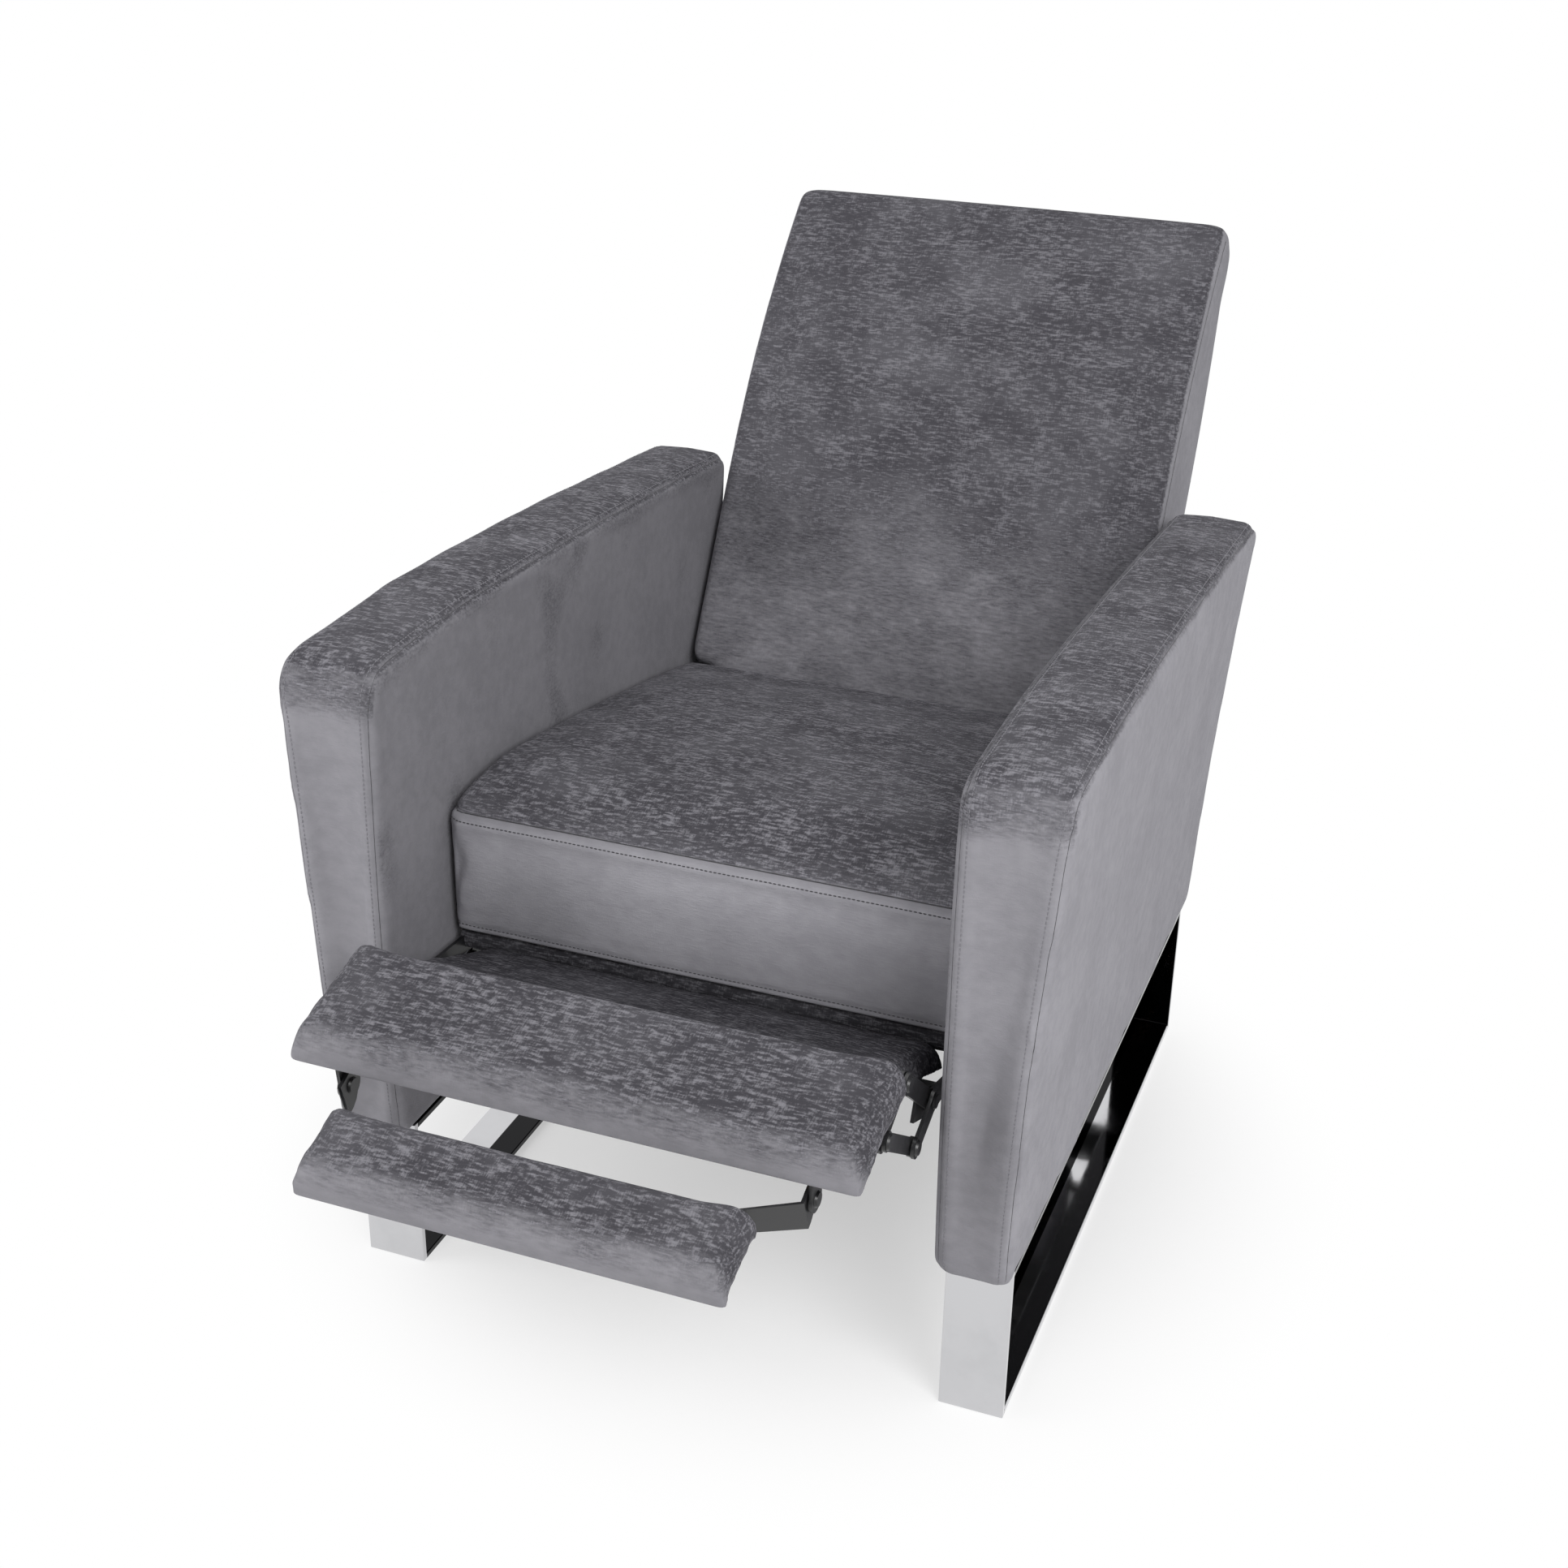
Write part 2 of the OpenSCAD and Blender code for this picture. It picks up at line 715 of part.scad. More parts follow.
// Side outline of the seat cushion, drawn in by d and raised by crown
function seat_outline(d, crown) =
    let (front = seat_front + 0.6 * d,
        seam = seat_height - d,
        rear = back_face_at(seat_rear_top) - back_room,
            under = 2 * spring_wire + pin_fit + fit,
        top = [for (t = [0.08, 0.17, 0.3, 0.45, 0.6, 0.75, 0.9, 1])
            [mix(front, rear, t),
                seam + seat_top_rise * sin(min(90, t * 500))
                    - (seat_rear_drop + seat_top_rise) * pow(t, 1.35)
                    + crown * sin(180 * t)]])
    concat(
        [[seat_front + skirt, skirt_height], [seat_front + skirt / 2, skirt_height - skirt_lip],
            [front + skirt_lip / 2, skirt_height + skirt_lip]],
        [for (q = seat_front_bulges) [front - q[1], mix(skirt_height, seam, q[0])]],
        [[front + seat_lip / 4, seam - seat_lip], [front + seat_lip, seam]],
        top,
        [[seat_rear_foot, bed_height(seat_rear_foot) + under],
            [bed_front, bed_height(bed_front) + under]]);

module seat_cushion() {
    xs = concat([for (e = seat_end_steps) [-seat_side + e, draw_in(e, seat_round)]],
        [for (t = [-0.75, -0.5, -0.25, 0, 0.25, 0.5, 0.75]) [t * seat_side, 0]],
        [for (e = reversed(seat_end_steps)) [seat_side - e, draw_in(e, seat_round)]]);
    color(FABRIC)
        loft([for (p = xs)
            let (share = p[0] / seat_side)
            [for (q = seat_outline(p[1], seat_crown * (1 - share * share))) [p[0], q[0], q[1]]]]);
}

// Back

// Point of the back at s along its face and t behind it
function back_point(s, t) =
    let (straight = min(s, back_straight),
        span = back_length - back_straight,
        over = max(0, s - back_straight),
        radius = span / (back_curl * PI / 180),
        a = back_angle + back_curl * over / span,
        on_face = back_place + straight * back_dir + (over > 0 ?
            radius * [cos(back_angle) - cos(a), sin(a) - sin(back_angle)] : [0, 0]))
    on_face + t * [cos(a), -sin(a)];

function back_width(s) = back_thickness - (back_thickness - back_top_thickness)
    * pow(max(0, s - back_straight) / (back_length - back_straight), 2.5);

// Ring of the back at s: half its width, drawn in by d
function back_ring(s, half, d, crown) =
    let (w = back_width(s),
        h = half - d,
        r = back_edge_round,
        t0 = min(d, w / 2 - r - 1),
        t1 = w - t0,
        outline = concat(
            arc([-h + r, t0 + r], r, 180, 270, 3),
            [for (i = [1 : 7]) let (k = i / 8)
                [mix(-h + r, h - r, k), t0 - crown * 4 * k * (1 - k)]],
            arc([h - r, t0 + r], r, 270, 360, 3),
            [[h + back_side_crown, (t0 + t1) / 2]],
            arc([h - r, t1 - r], r, 0, 90, 3),
            [for (i = [1 : 7]) let (k = i / 8)
                [mix(h - r, -h + r, k), t1 + back_rear_crown * 4 * k * (1 - k)]],
            arc([-h + r, t1 - r], r, 90, 180, 3),
            [[-h - back_side_crown, (t0 + t1) / 2]]))
    [for (q = outline) let (p = back_point(s, q[1])) [q[0], p[0], p[1]]];

module back_shape() {
    tail = back_tail_half - back_tail_inset;
    loft(reversed(concat(
        [back_ring(-back_tail, tail, 0, 0), back_ring(-back_step - 1, tail, 0, 0),
            back_ring(-back_step, back_half, back_foot_round, 0)],
        [for (s = back_steps) back_ring(s, back_half, 0, back_crown * sin(180 * s / back_length))],
        [for (e = back_top_steps) back_ring(back_length - e, back_half, draw_in(e, back_top_round), 0)])));
}

// Side outline from s0 to s1, between a depth t0 behind the face and a depth t1, which
// stays at least a margin inside the back's rear
function back_band(s0, s1, t0, t1, margin, n = back_cuts) =
    concat([for (i = [0 : n]) back_point(mix(s0, s1, i / n), t0)],
        [for (i = [n : -1 : 0])
            let (s = mix(s0, s1, i / n)) back_point(s, min(t1, back_width(s) - margin))]);

// Slots for the hinge arms, which swing inside the back
module hinge_slots() {
    for (s = [-1, 1])
        side(s > 0 ? slot_inner - slot_room : -slot_outer, slot_outer - slot_inner + slot_room) {
            bore(hinge, boss_radius + boss_room);
            polygon([back_point(-back_step - 2 * cut, slot_front),
                back_point(hinge_rise + boss_room, hinge_depth - boss_radius - cut),
                back_point(hinge_rise, hinge_depth + boss_radius + boss_room),
                back_point(-back_step - 2 * cut, hinge_depth + boss_radius + boss_room)]);
        }
}

module back_cushion() {
    color(FABRIC)
        difference() {
            back_shape();
            side(-back_tail_half + back_wall, 2 * (back_tail_half - back_wall))
                polygon(back_band(-back_tail + tail_wall, back_step, back_foam, 2 * back_thickness,
                    -back_opening));
            side(-back_half + back_wall, 2 * (back_half - back_wall))
                polygon(back_band(back_step, frame_top + frame_room, back_foam, 2 * back_thickness,
                    -back_opening));
            hinge_slots();
            side(-back_half, 2 * back_half)
                for (p = back_bolt_places) bore(p, rivet_radius + fit);
        }
}

// Cover that closes the back from behind
module back_panel() {
    color(FABRIC) {
        side(-back_half + back_wall + fit, 2 * (back_half - back_wall - fit))
            polygon(concat(
                [for (i = [0 : back_cuts]) let (s = mix(panel_start, panel_end, i / back_cuts))
                    back_point(s, back_width(s) - back_cover)],
                [for (i = [back_cuts : -1 : 0]) let (s = mix(panel_start, panel_end, i / back_cuts))
                    back_point(s, back_width(s) - fit)]));
        side(-back_tail_half + back_wall + fit, 2 * (back_tail_half - back_wall - fit))
            polygon([for (q = [[tail_start, -back_cover], [panel_start, -back_cover],
                [panel_start, -fit], [tail_start, -fit]])
                back_point(q[0], back_thickness + q[1])]);
    }
}

// Two stiles that follow the back's curve, with three cross rails
module back_frame() {
    stile_x = back_tail_half - back_wall - stile_width - fit;
    color(TIMBER) {
        for (s = [-1, 1])
            side(s > 0 ? stile_x : -stile_x - stile_width, stile_width)
                difference() {
                    polygon(back_band(stile_start, frame_top, stile_front_depth,
                        stile_front_depth + stile_depth, stile_margin));
                    for (p = back_bolt_places) bore(p, rivet_radius + pin_fit);
                }
        for (s = cross_rail_places)
            side(-stile_x, 2 * stile_x)
                polygon([back_point(s, cross_rail_front),
                    back_point(s + cross_rail_height, cross_rail_front),
                    back_point(s + cross_rail_height, cross_rail_front + wood),
                    back_point(s, cross_rail_front + wood)]);
    }
}

// Elastic straps across the stiles' front faces
module back_webbing() {
    half = back_tail_half - back_wall - fit - back_tail_inset;
    color(LINING)
        for (i = [0 : strap_count - 1])
            let (s = strap_first + i * strap_pitch)
                side(-half, 2 * half)
                    polygon(back_band(s, s + strap_width, stile_front_depth - fit - strap_thickness,
                        stile_front_depth - fit, 0, 3));
}

back_bolt_places = [for (q = bracket_bolt_spots) back_point(q[0], stile_front_depth + q[1])];

// Bracket on the stile's outer side: hinge boss above, lever for the drive rod below
module back_bracket() {
    side(bracket_x, plate)
        difference() {
            union() {
                strip(hinge, back_bolt_places[1], bracket_width + 6);
                strip(back_bolt_places[1], back_bolt_places[0], bracket_width + 4);
                strip(back_bolt_places[0], lever_pin, bracket_width);
                strip(hinge, back_bolt_places[0], bracket_width);
            }
            bore(hinge, rivet_radius + run_fit);
            bore(lever_pin, rivet_radius + pin_fit);
            for (p = back_bolt_places) bore(p, rivet_radius + pin_fit);
        }
}

// Bolts through the brackets into the stiles, and the levers' long pins
module back_rivets() {
    stile_x = back_tail_half - back_wall - stile_width - fit;
    color(STEEL) both() {
        for (p = back_bolt_places)
            translate([stile_x, p[0], p[1]])
                rotate([0, 90, 0])
                    rotate_extrude($fn = 48)
                        polygon([[0, 0], [rivet_radius, 0], [rivet_radius, bracket_x + plate - stile_x],
                            [head_radius, bracket_x + plate - stile_x],
                            [head_radius - head_height / 2, bracket_x + plate + head_height - stile_x],
                            [0, bracket_x + plate + head_height - stile_x]]);
        translate([bracket_x - head_height, lever_pin[0], lever_pin[1]])
            rotate([0, 90, 0])
                rotate_extrude($fn = 48)
                    polygon([[0, 0], [head_radius, 0], [head_radius, head_height],
                        [rivet_radius, head_height], [rivet_radius, head_height + plate],
                        [head_radius, head_height + plate],
                        [head_radius, head_height + layer(2) - plate - fit - bracket_x],
                        [rivet_radius, head_height + layer(2) - plate - fit - bracket_x],
                        [rivet_radius, head_height + layer(2) + fit - bracket_x],
                        [head_radius, head_height + layer(2) + fit - bracket_x],
                        [head_radius - 1, 2 * head_height + layer(2) + fit - bracket_x],
                        [0, 2 * head_height + layer(2) + fit - bracket_x]]);
    }
}

// Linkage

// Rear link: from the rear pivot to the upper link's foot, with a slotted crank
module rear_link() {
    side(layer(1) - plate, plate)
        difference() {
            union() {
                strip(rear_pivot, rear_foot, link_width);
                bore(rear_pivot, tube_radius + 2 * eye_rise);
                strip(rear_pivot, crank_pin, crank_width);
            }
            bore(rear_pivot, rivet_radius + run_fit);
            bore(rear_foot, rivet_radius + pin_fit);
            slot(mix(rear_pivot, crank_pin, crank_slot_share), crank_pin, rivet_radius + loose_fit);
        }
}

// Tube between the rear links, turning with them around the rear pivots
module drive_tube() {
    color(STEEL)
        translate([-layer(1) + plate, rear_pivot[0], rear_pivot[1]])
            rotate([0, 90, 0])
                difference() {
                    cylinder(r = tube_radius, h = 2 * (layer(1) - plate), $fn = 64);
                    translate([0, 0, -cut])
                        cylinder(r = head_radius + 1, h = 2 * layer(1), $fn = 64);
                }
}

// Front link: bent at an elbow to pass under the seat's front
module front_link() {
    side(layer(1) - plate, plate)
        difference() {
            union() {
                strip(front_pivot, elbow, link_width);
                strip(elbow, cross_pivot, link_width);
                strip(cross_pivot, link_foot, link_width);
                bore(front_pivot, front_eye);
            }
            bore(front_pivot, rivet_radius + run_fit);
            bore(cross_pivot, rivet_radius + pin_fit);
            bore(link_foot, rivet_radius + pin_fit);
        }
}

// Upper link: from its foot over the cross pivot to the footrest bracket
module upper_link() {
    side(layer(2) - plate, plate)
        difference() {
            union() {
                strip(rear_foot, cross_pivot, link_width);
                strip(cross_pivot, board_pivot, link_width);
            }
            bore(rear_foot, rivet_radius + fit);
            bore(cross_pivot, rivet_radius + run_fit);
            bore(board_pivot, rivet_radius + pin_fit);
        }
    middle_bracket();
}

// Angle welded to the upper link's inner face that the middle board sits on
module middle_bracket() {
    difference() {
        intersection() {
            side(layer(2) - 2 * plate, plate)
                strip(mix(rear_foot, cross_pivot, ear_shares[0]),
                    mix(cross_pivot, board_pivot, ear_shares[1]), 2 * ear_reach);
            board_frame(middle_place, -middle_rise)
                translate([0, -middle_length + ear_start, -middle_thickness - ear_depth])
                    cube([arm_inner, ear_run, ear_depth]);
        }
        side(layer(2) - 2 * plate - cut, plate + cut) bore(cross_pivot, head_radius + 1);
    }
    board_frame(middle_place, -middle_rise)
        translate([middle_width / 2 - board_inset - foot_inset, -middle_length + foot_start,
                -middle_thickness - plate])
            cube([layer(2) - plate - middle_width / 2 + board_inset + foot_inset,
                foot_run, plate]);
}

module lower_link() {
    side(layer(2) - plate, plate)
        difference() {
            strip(link_foot, bracket_pivot, link_width - 2);
            bore(link_foot, rivet_radius + run_fit);
            bore(bracket_pivot, rivet_radius + loose_fit);
        }
}

module rear_link_rivets() {
    color(STEEL) both() rivet(rear_foot, layer(2) - plate - fit, layer(1));
}

module front_link_rivets() {
    color(STEEL) both()
        for (p = [cross_pivot, link_foot]) rivet(p, layer(2) - plate - fit, layer(1));
}

module upper_link_rivets() {
    color(STEEL) both() rivet(board_pivot, layer(3) - plate - fit, layer(2));
}

// Footrest

flipper_on_board = on_board(flipper_pivot, footrest_place, footrest_pitch);

// Formed bracket under the main board: an outer ear for the links, a flange under the
// board and an inner ear at the front for the flipper
module footrest_bracket() {
    under = -footrest_thickness;
    rear = on_board(board_pivot, footrest_place, footrest_pitch)[0] + ear_overlap;
    front = on_board(bracket_pivot, footrest_place, footrest_pitch)[0];
    difference() {
        union() {
            side(ear_x - plate, plate) strip(board_pivot, bracket_pivot, link_width + 2 * eye_rise);
            board_frame(footrest_place, footrest_pitch) {
                side(ear_x - plate, plate)
                    polygon([[rear, under], [-board_inset - ear_length, under],
                        [-board_inset - ear_length, under - bracket_strip],
                        [front - ear_corner, under - bracket_strip - ear_drop],
                        [rear, under - bracket_strip - ear_corner]]);
                translate([flipper_ear_x, -footrest_length + flange_inset, under - plate])
                    cube([ear_x - flipper_ear_x, footrest_length - 2 * flange_inset, plate]);
                side(flipper_ear_x, plate) {
                    polygon([[flipper_on_board[0] + flipper_ear_run, under],
                        [flipper_on_board[0] - ear_corner, under],
                        [flipper_on_board[0] - flipper_ear_side, flipper_on_board[1]],
                        [flipper_on_board[0] + flipper_ear_side, flipper_on_board[1] - plate]]);
                    bore(flipper_on_board, flipper_ear_radius);
                }
            }
        }
        side(ear_x - plate - cut, plate + 2 * cut) {
            bore(board_pivot, rivet_radius + run_fit);
            bore(bracket_pivot, rivet_radius + pin_fit);
        }
        side(flipper_ear_x - cut, plate + 2 * cut) bore(flipper_pivot, rivet_radius + pin_fit);
    }
}

module footrest_rivets() {
    color(STEEL) both() {
        rivet(bracket_pivot, layer(3) - plate, layer(2) + fit);
        rivet(flipper_pivot, flipper_plate_x - fit, flipper_ear_x + plate);
    }
}

// Bent plate: a hinge end outboard, set inwards on its way to the flipper's underside
module flipper_bracket() {
    pivot = on_board(flipper_pivot, flipper_place, flipper_pitch);
    under = -flipper_thickness;
    upper = cheek_outline[1];
    lower = cheek_outline[2];
    difference() {
        board_frame(flipper_place, flipper_pitch) {
            side(flipper_plate_x, plate) {
                bore(pivot, cheek_radius);
                polygon([for (q = cheek_outline) pivot + q]);
            }
            hull() {
                side(flipper_plate_x, plate)
                    polygon([pivot + upper + [cheek_fold, 0], pivot + upper, pivot + lower,
                        pivot + lower + [cheek_fold, 0]]);
                side(flipper_foot_x, plate)
                    polygon([[foot_edge[1], foot_top], [foot_edge[0], foot_top],
                        [foot_edge[0], under - foot_depth], [foot_edge[1], under - foot_depth]]);
            }
            side(flipper_foot_x, plate)
                polygon(concat([[foot_edge[1], under - plate - foot_depth], [foot_edge[1], under],
                    [-flipper_length + foot_tip[0][0], under]],
                    [for (q = foot_tip) [-flipper_length + q[0], under - q[1]]]));
            translate([flipper_foot_x - foot_width, -flipper_length + foot_tip[0][0], under - plate])
                cube([foot_width + plate, flipper_length - 2 * foot_tip[0][0], plate]);
        }
        side(flipper_plate_x - cut, plate + 2 * cut) bore(flipper_pivot, rivet_radius + run_fit);
    }
}

// Drive rod: from the back's lever to the slotted crank
module drive_rod() {
    side(layer(2) - plate, plate)
        difference() {
            strip(lever_pin, crank_pin, link_width - 3);
            bore(lever_pin, rivet_radius + run_fit);
            bore(crank_pin, rivet_radius + pin_fit);
        }
}

module drive_rod_rivets() {
    color(STEEL) both() rivet(crank_pin, layer(2) - plate, layer(1) + fit);
}

color(CHROME) leg_loop();  // leg_loop_right
color(CHROME) mirror([1, 0, 0]) leg_loop();  // leg_loop_left
leg_screws();
color(TIMBER) arm_frame();  // arm_frame_right
color(TIMBER) mirror([1, 0, 0]) arm_frame();  // arm_frame_left
color(FABRIC) arm_cover();  // arm_cover_right
color(FABRIC) mirror([1, 0, 0]) arm_cover();  // arm_cover_left
color(TIMBER) rail(front_rail_y);  // front_rail
color(TIMBER) rail(rear_rail_y);  // rear_rail
color(STEEL) side_plate();  // side_plate_right
color(STEEL) mirror([1, 0, 0]) side_plate();  // side_plate_left
color(STEEL) hinge_arm();  // hinge_arm_right
color(STEEL) mirror([1, 0, 0]) hinge_arm();  // hinge_arm_left
plate_bolts();
base_rivets();
seat_frame();
seat_springs();
seat_cushion();
back_frame();
back_webbing();
back_cushion();
back_panel();
color(STEEL) back_bracket();  // back_bracket_right
color(STEEL) mirror([1, 0, 0]) back_bracket();  // back_bracket_left
back_rivets();
color(STEEL) rear_link();  // rear_link_right
color(STEEL) mirror([1, 0, 0]) rear_link();  // rear_link_left
drive_tube();
rear_link_rivets();
color(STEEL) front_link();  // front_link_right
color(STEEL) mirror([1, 0, 0]) front_link();  // front_link_left
front_link_rivets();
color(STEEL) upper_link();  // upper_link_right
color(STEEL) mirror([1, 0, 0]) upper_link();  // upper_link_left
upper_link_rivets();
color(TIMBER) board_frame(middle_place, -middle_rise)  // middle_board
        board(middle_width, middle_length, middle_thickness);
color(FABRIC) board_frame(middle_place, -middle_rise)  // middle_cushion
        pad(middle_width, middle_length, middle_thickness);
color(STEEL) lower_link();  // lower_link_right
color(STEEL) mirror([1, 0, 0]) lower_link();  // lower_link_left
color(STEEL) footrest_bracket();  // footrest_bracket_right
color(STEEL) mirror([1, 0, 0]) footrest_bracket();  // footrest_bracket_left
footrest_rivets();
color(TIMBER) board_frame(footrest_place, footrest_pitch)  // footrest_board
        board(footrest_width, footrest_length, footrest_thickness);
color(FABRIC) board_frame(footrest_place, footrest_pitch)  // footrest_cushion
        pad(footrest_width, footrest_length, footrest_thickness);
color(STEEL) flipper_bracket();  // flipper_bracket_right
color(STEEL) mirror([1, 0, 0]) flipper_bracket();  // flipper_bracket_left
color(TIMBER) board_frame(flipper_place, flipper_pitch)  // flipper_board
        board(flipper_width, flipper_length, flipper_thickness);
color(FABRIC) board_frame(flipper_place, flipper_pitch)  // flipper_cushion
        pad(flipper_width, flipper_length, flipper_thickness);
color(STEEL) drive_rod();  // drive_rod_right
color(STEEL) mirror([1, 0, 0]) drive_rod();  // drive_rod_left
drive_rod_rivets();
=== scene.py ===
"""Looks of a push-back recliner in crushed grey velvet, with chrome loop legs and a black steel linkage.

Every piece is made in metres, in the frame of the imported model. The fabric pieces grow out of copies of the
model's solids: each copy is remeshed, blown up by a short cloth simulation, held back along its seams and
stitched. The legs are modelled anew from their box, and the other metal parts get finishes of their own.
"""

import logging
import math
from collections.abc import Callable, Iterable, Sequence
from dataclasses import dataclass, field
from enum import Enum
from functools import cached_property

import bmesh
import bpy
import numpy as np
from mathutils import Matrix, Vector, noise
from mathutils.bvhtree import BVHTree
from mathutils.kdtree import KDTree


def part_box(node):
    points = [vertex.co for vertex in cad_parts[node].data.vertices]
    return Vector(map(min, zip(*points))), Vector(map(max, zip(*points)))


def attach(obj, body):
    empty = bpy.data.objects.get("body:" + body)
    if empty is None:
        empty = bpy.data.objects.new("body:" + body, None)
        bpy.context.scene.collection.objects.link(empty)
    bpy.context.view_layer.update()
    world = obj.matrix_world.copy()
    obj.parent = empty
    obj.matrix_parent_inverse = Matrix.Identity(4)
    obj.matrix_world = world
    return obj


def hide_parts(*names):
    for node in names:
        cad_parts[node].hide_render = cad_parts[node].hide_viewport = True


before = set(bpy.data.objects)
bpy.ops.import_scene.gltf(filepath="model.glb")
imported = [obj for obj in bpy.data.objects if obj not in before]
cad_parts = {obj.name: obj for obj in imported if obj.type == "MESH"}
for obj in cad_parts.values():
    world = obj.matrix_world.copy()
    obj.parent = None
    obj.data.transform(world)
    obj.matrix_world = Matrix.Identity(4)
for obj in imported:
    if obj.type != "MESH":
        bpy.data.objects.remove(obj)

log = logging.getLogger("recliner")
MM = 0.001
Colour = tuple[float, float, float]
Point = tuple[float, float, float]
Array = np.ndarray
# Gives one number a point, from the points' places and normals.
Field = Callable[[Array, Array], Array]


class Side(Enum):
    """The two sides of the chair, as seen from its front, by the sign of X."""

    RIGHT = 1
    LEFT = -1

    @property
    def label(self) -> str:
        """The word that ends a node's name on this side."""
        return "right" if self is Side.RIGHT else "left"


# Shader values


class Value:
    """A node's output that takes part in sums, so that shader maths reads as plain expressions."""

    def __init__(self, graph: "Graph", socket: bpy.types.NodeSocket) -> None:
        """Wraps a socket.

        Args:
            graph: The material's graph that the socket belongs to.
            socket: The output socket.
        """
        self.graph = graph
        self.socket = socket

    def _maths(self, operation: str, first: object, second: object = 0.0) -> "Value":
        """Adds one Math node.

        Args:
            operation: The Math node's operation.
            first: Its first number or value.
            second: Its second number or value.

        Returns:
            The node's result.
        """
        return self.graph.value("ShaderNodeMath", {"operation": operation}, {0: first, 1: second})

    def __add__(self, other: object) -> "Value":
        """self + other."""
        return self._maths("ADD", self, other)

    def __radd__(self, other: object) -> "Value":
        """other + self."""
        return self._maths("ADD", other, self)

    def __sub__(self, other: object) -> "Value":
        """self - other."""
        return self._maths("SUBTRACT", self, other)

    def __rsub__(self, other: object) -> "Value":
        """other - self."""
        return self._maths("SUBTRACT", other, self)

    def __mul__(self, other: object) -> "Value":
        """self * other."""
        return self._maths("MULTIPLY", self, other)

    def __rmul__(self, other: object) -> "Value":
        """other * self."""
        return self._maths("MULTIPLY", other, self)

    def above(self, low: float, high: float) -> "Value":
        """A smooth step.

        Args:
            low: Where the step starts, at 0.
            high: Where it ends, at 1.

        Returns:
            The step's value, from 0 to 1.
        """
        return self.graph.value("ShaderNodeMapRange", {"interpolation_type": "SMOOTHSTEP"},
                                {"Value": self, "From Min": low, "From Max": high})


class Graph:
    """The node tree of one material or of the world."""

    def __init__(self, owner: bpy.types.Material | bpy.types.World) -> None:
        """Starts an empty tree.

        Args:
            owner: The new material or world.
        """
        self.owner = owner
        owner.use_nodes = True
        self.tree = owner.node_tree
        self.tree.nodes.clear()

    @cached_property
    def place(self) -> bpy.types.NodeSocket:
        """The piece's own coordinates."""
        return self.add("ShaderNodeTexCoord", {}, {}).outputs["Object"]

    def axes(self) -> tuple[Value, Value, Value]:
        """The piece's own coordinates along X, Y and Z."""
        return tuple(self.value("ShaderNodeSeparateXYZ", {}, {0: self.place}, axis) for axis in "XYZ")

    def add(self, kind: str, settings: dict[str, object], inputs: dict[object, object]) -> bpy.types.Node:
        """Adds a node.

        Args:
            kind: The node's type.
            settings: Its properties, set first.
            inputs: For each input's name or index, a number, colour, Value or socket.

        Returns:
            The new node.
        """
        node = self.tree.nodes.new(kind)
        for key, setting in settings.items():
            setattr(node, key, setting)
        for key, given in inputs.items():
            socket = node.inputs[key]
            if isinstance(given, Value):
                given = given.socket
            if isinstance(given, bpy.types.NodeSocket):
                self.tree.links.new(given, socket)
            elif isinstance(given, tuple) and socket.type == "RGBA":
                socket.default_value = (*given, 1)
            else:
                socket.default_value = given
        return node

    def value(self, kind: str, settings: dict[str, object], inputs: dict[object, object],
              output: object = 0) -> Value:
        """Adds a node and takes one of its outputs.

        Args:
            kind: The node's type.
            settings: Its properties.
            inputs: Its inputs.
            output: The output's name or index.

        Returns:
            That output as a value.
        """
        return Value(self, self.add(kind, settings, inputs).outputs[output])

    def grain(self, scales: Point, detail: float = 2, roughness: float = 0.5) -> Value:
        """Noise on the piece's own coordinates.

        Args:
            scales: Cells per metre along X, Y and Z.
            detail: The noise's octaves.
            roughness: How much the finer octaves count.

        Returns:
            The noise, around 0.5.
        """
        stretched = self.add("ShaderNodeVectorMath", {"operation": "MULTIPLY"}, {0: self.place, 1: scales})
        return self.value("ShaderNodeTexNoise", {}, {"Vector": stretched.outputs[0], "Scale": 1.0,
                                                     "Detail": detail, "Roughness": roughness})

    def attribute(self, name: str) -> Value:
        """A number that the mesh holds for each of its points.

        Args:
            name: The attribute's name.

        Returns:
            Its value.
        """
        return self.value("ShaderNodeAttribute", {"attribute_name": name}, {}, "Fac")

    def mix(self, factor: object, low: object, high: object, how: str = "MIX") -> Value:
        """Mixes two colours.

        Args:
            factor: The share of the second colour.
            low: The first colour.
            high: The second colour.
            how: The Mix node's way of blending.

        Returns:
            The mixed colour.
        """
        return self.value("ShaderNodeMix", {"data_type": "RGBA", "blend_type": how},
                          {0: factor, 6: low, 7: high}, 2)

    def finish(self, surface: dict[str, object], height: Value, relief: float,
               strength: float) -> bpy.types.Material:
        """Adds the shader and the output.

        Args:
            surface: The Principled shader's inputs.
            height: The height that feeds its bump.
            relief: The bump's distance in metres.
            strength: The bump's strength.

        Returns:
            The material.
        """
        bump = self.value("ShaderNodeBump", {}, {"Height": height, "Distance": relief, "Strength": strength})
        shader = self.add("ShaderNodeBsdfPrincipled", {}, {**surface, "Normal": bump})
        self.add("ShaderNodeOutputMaterial", {}, {"Surface": shader.outputs[0]})
        return self.owner


# Finishes


@dataclass(frozen=True)
class Finish:
    """A procedural finish."""

    name: str

    def graph(self) -> Graph:
        """Starts the finish's material."""
        return Graph(bpy.data.materials.new(self.name))


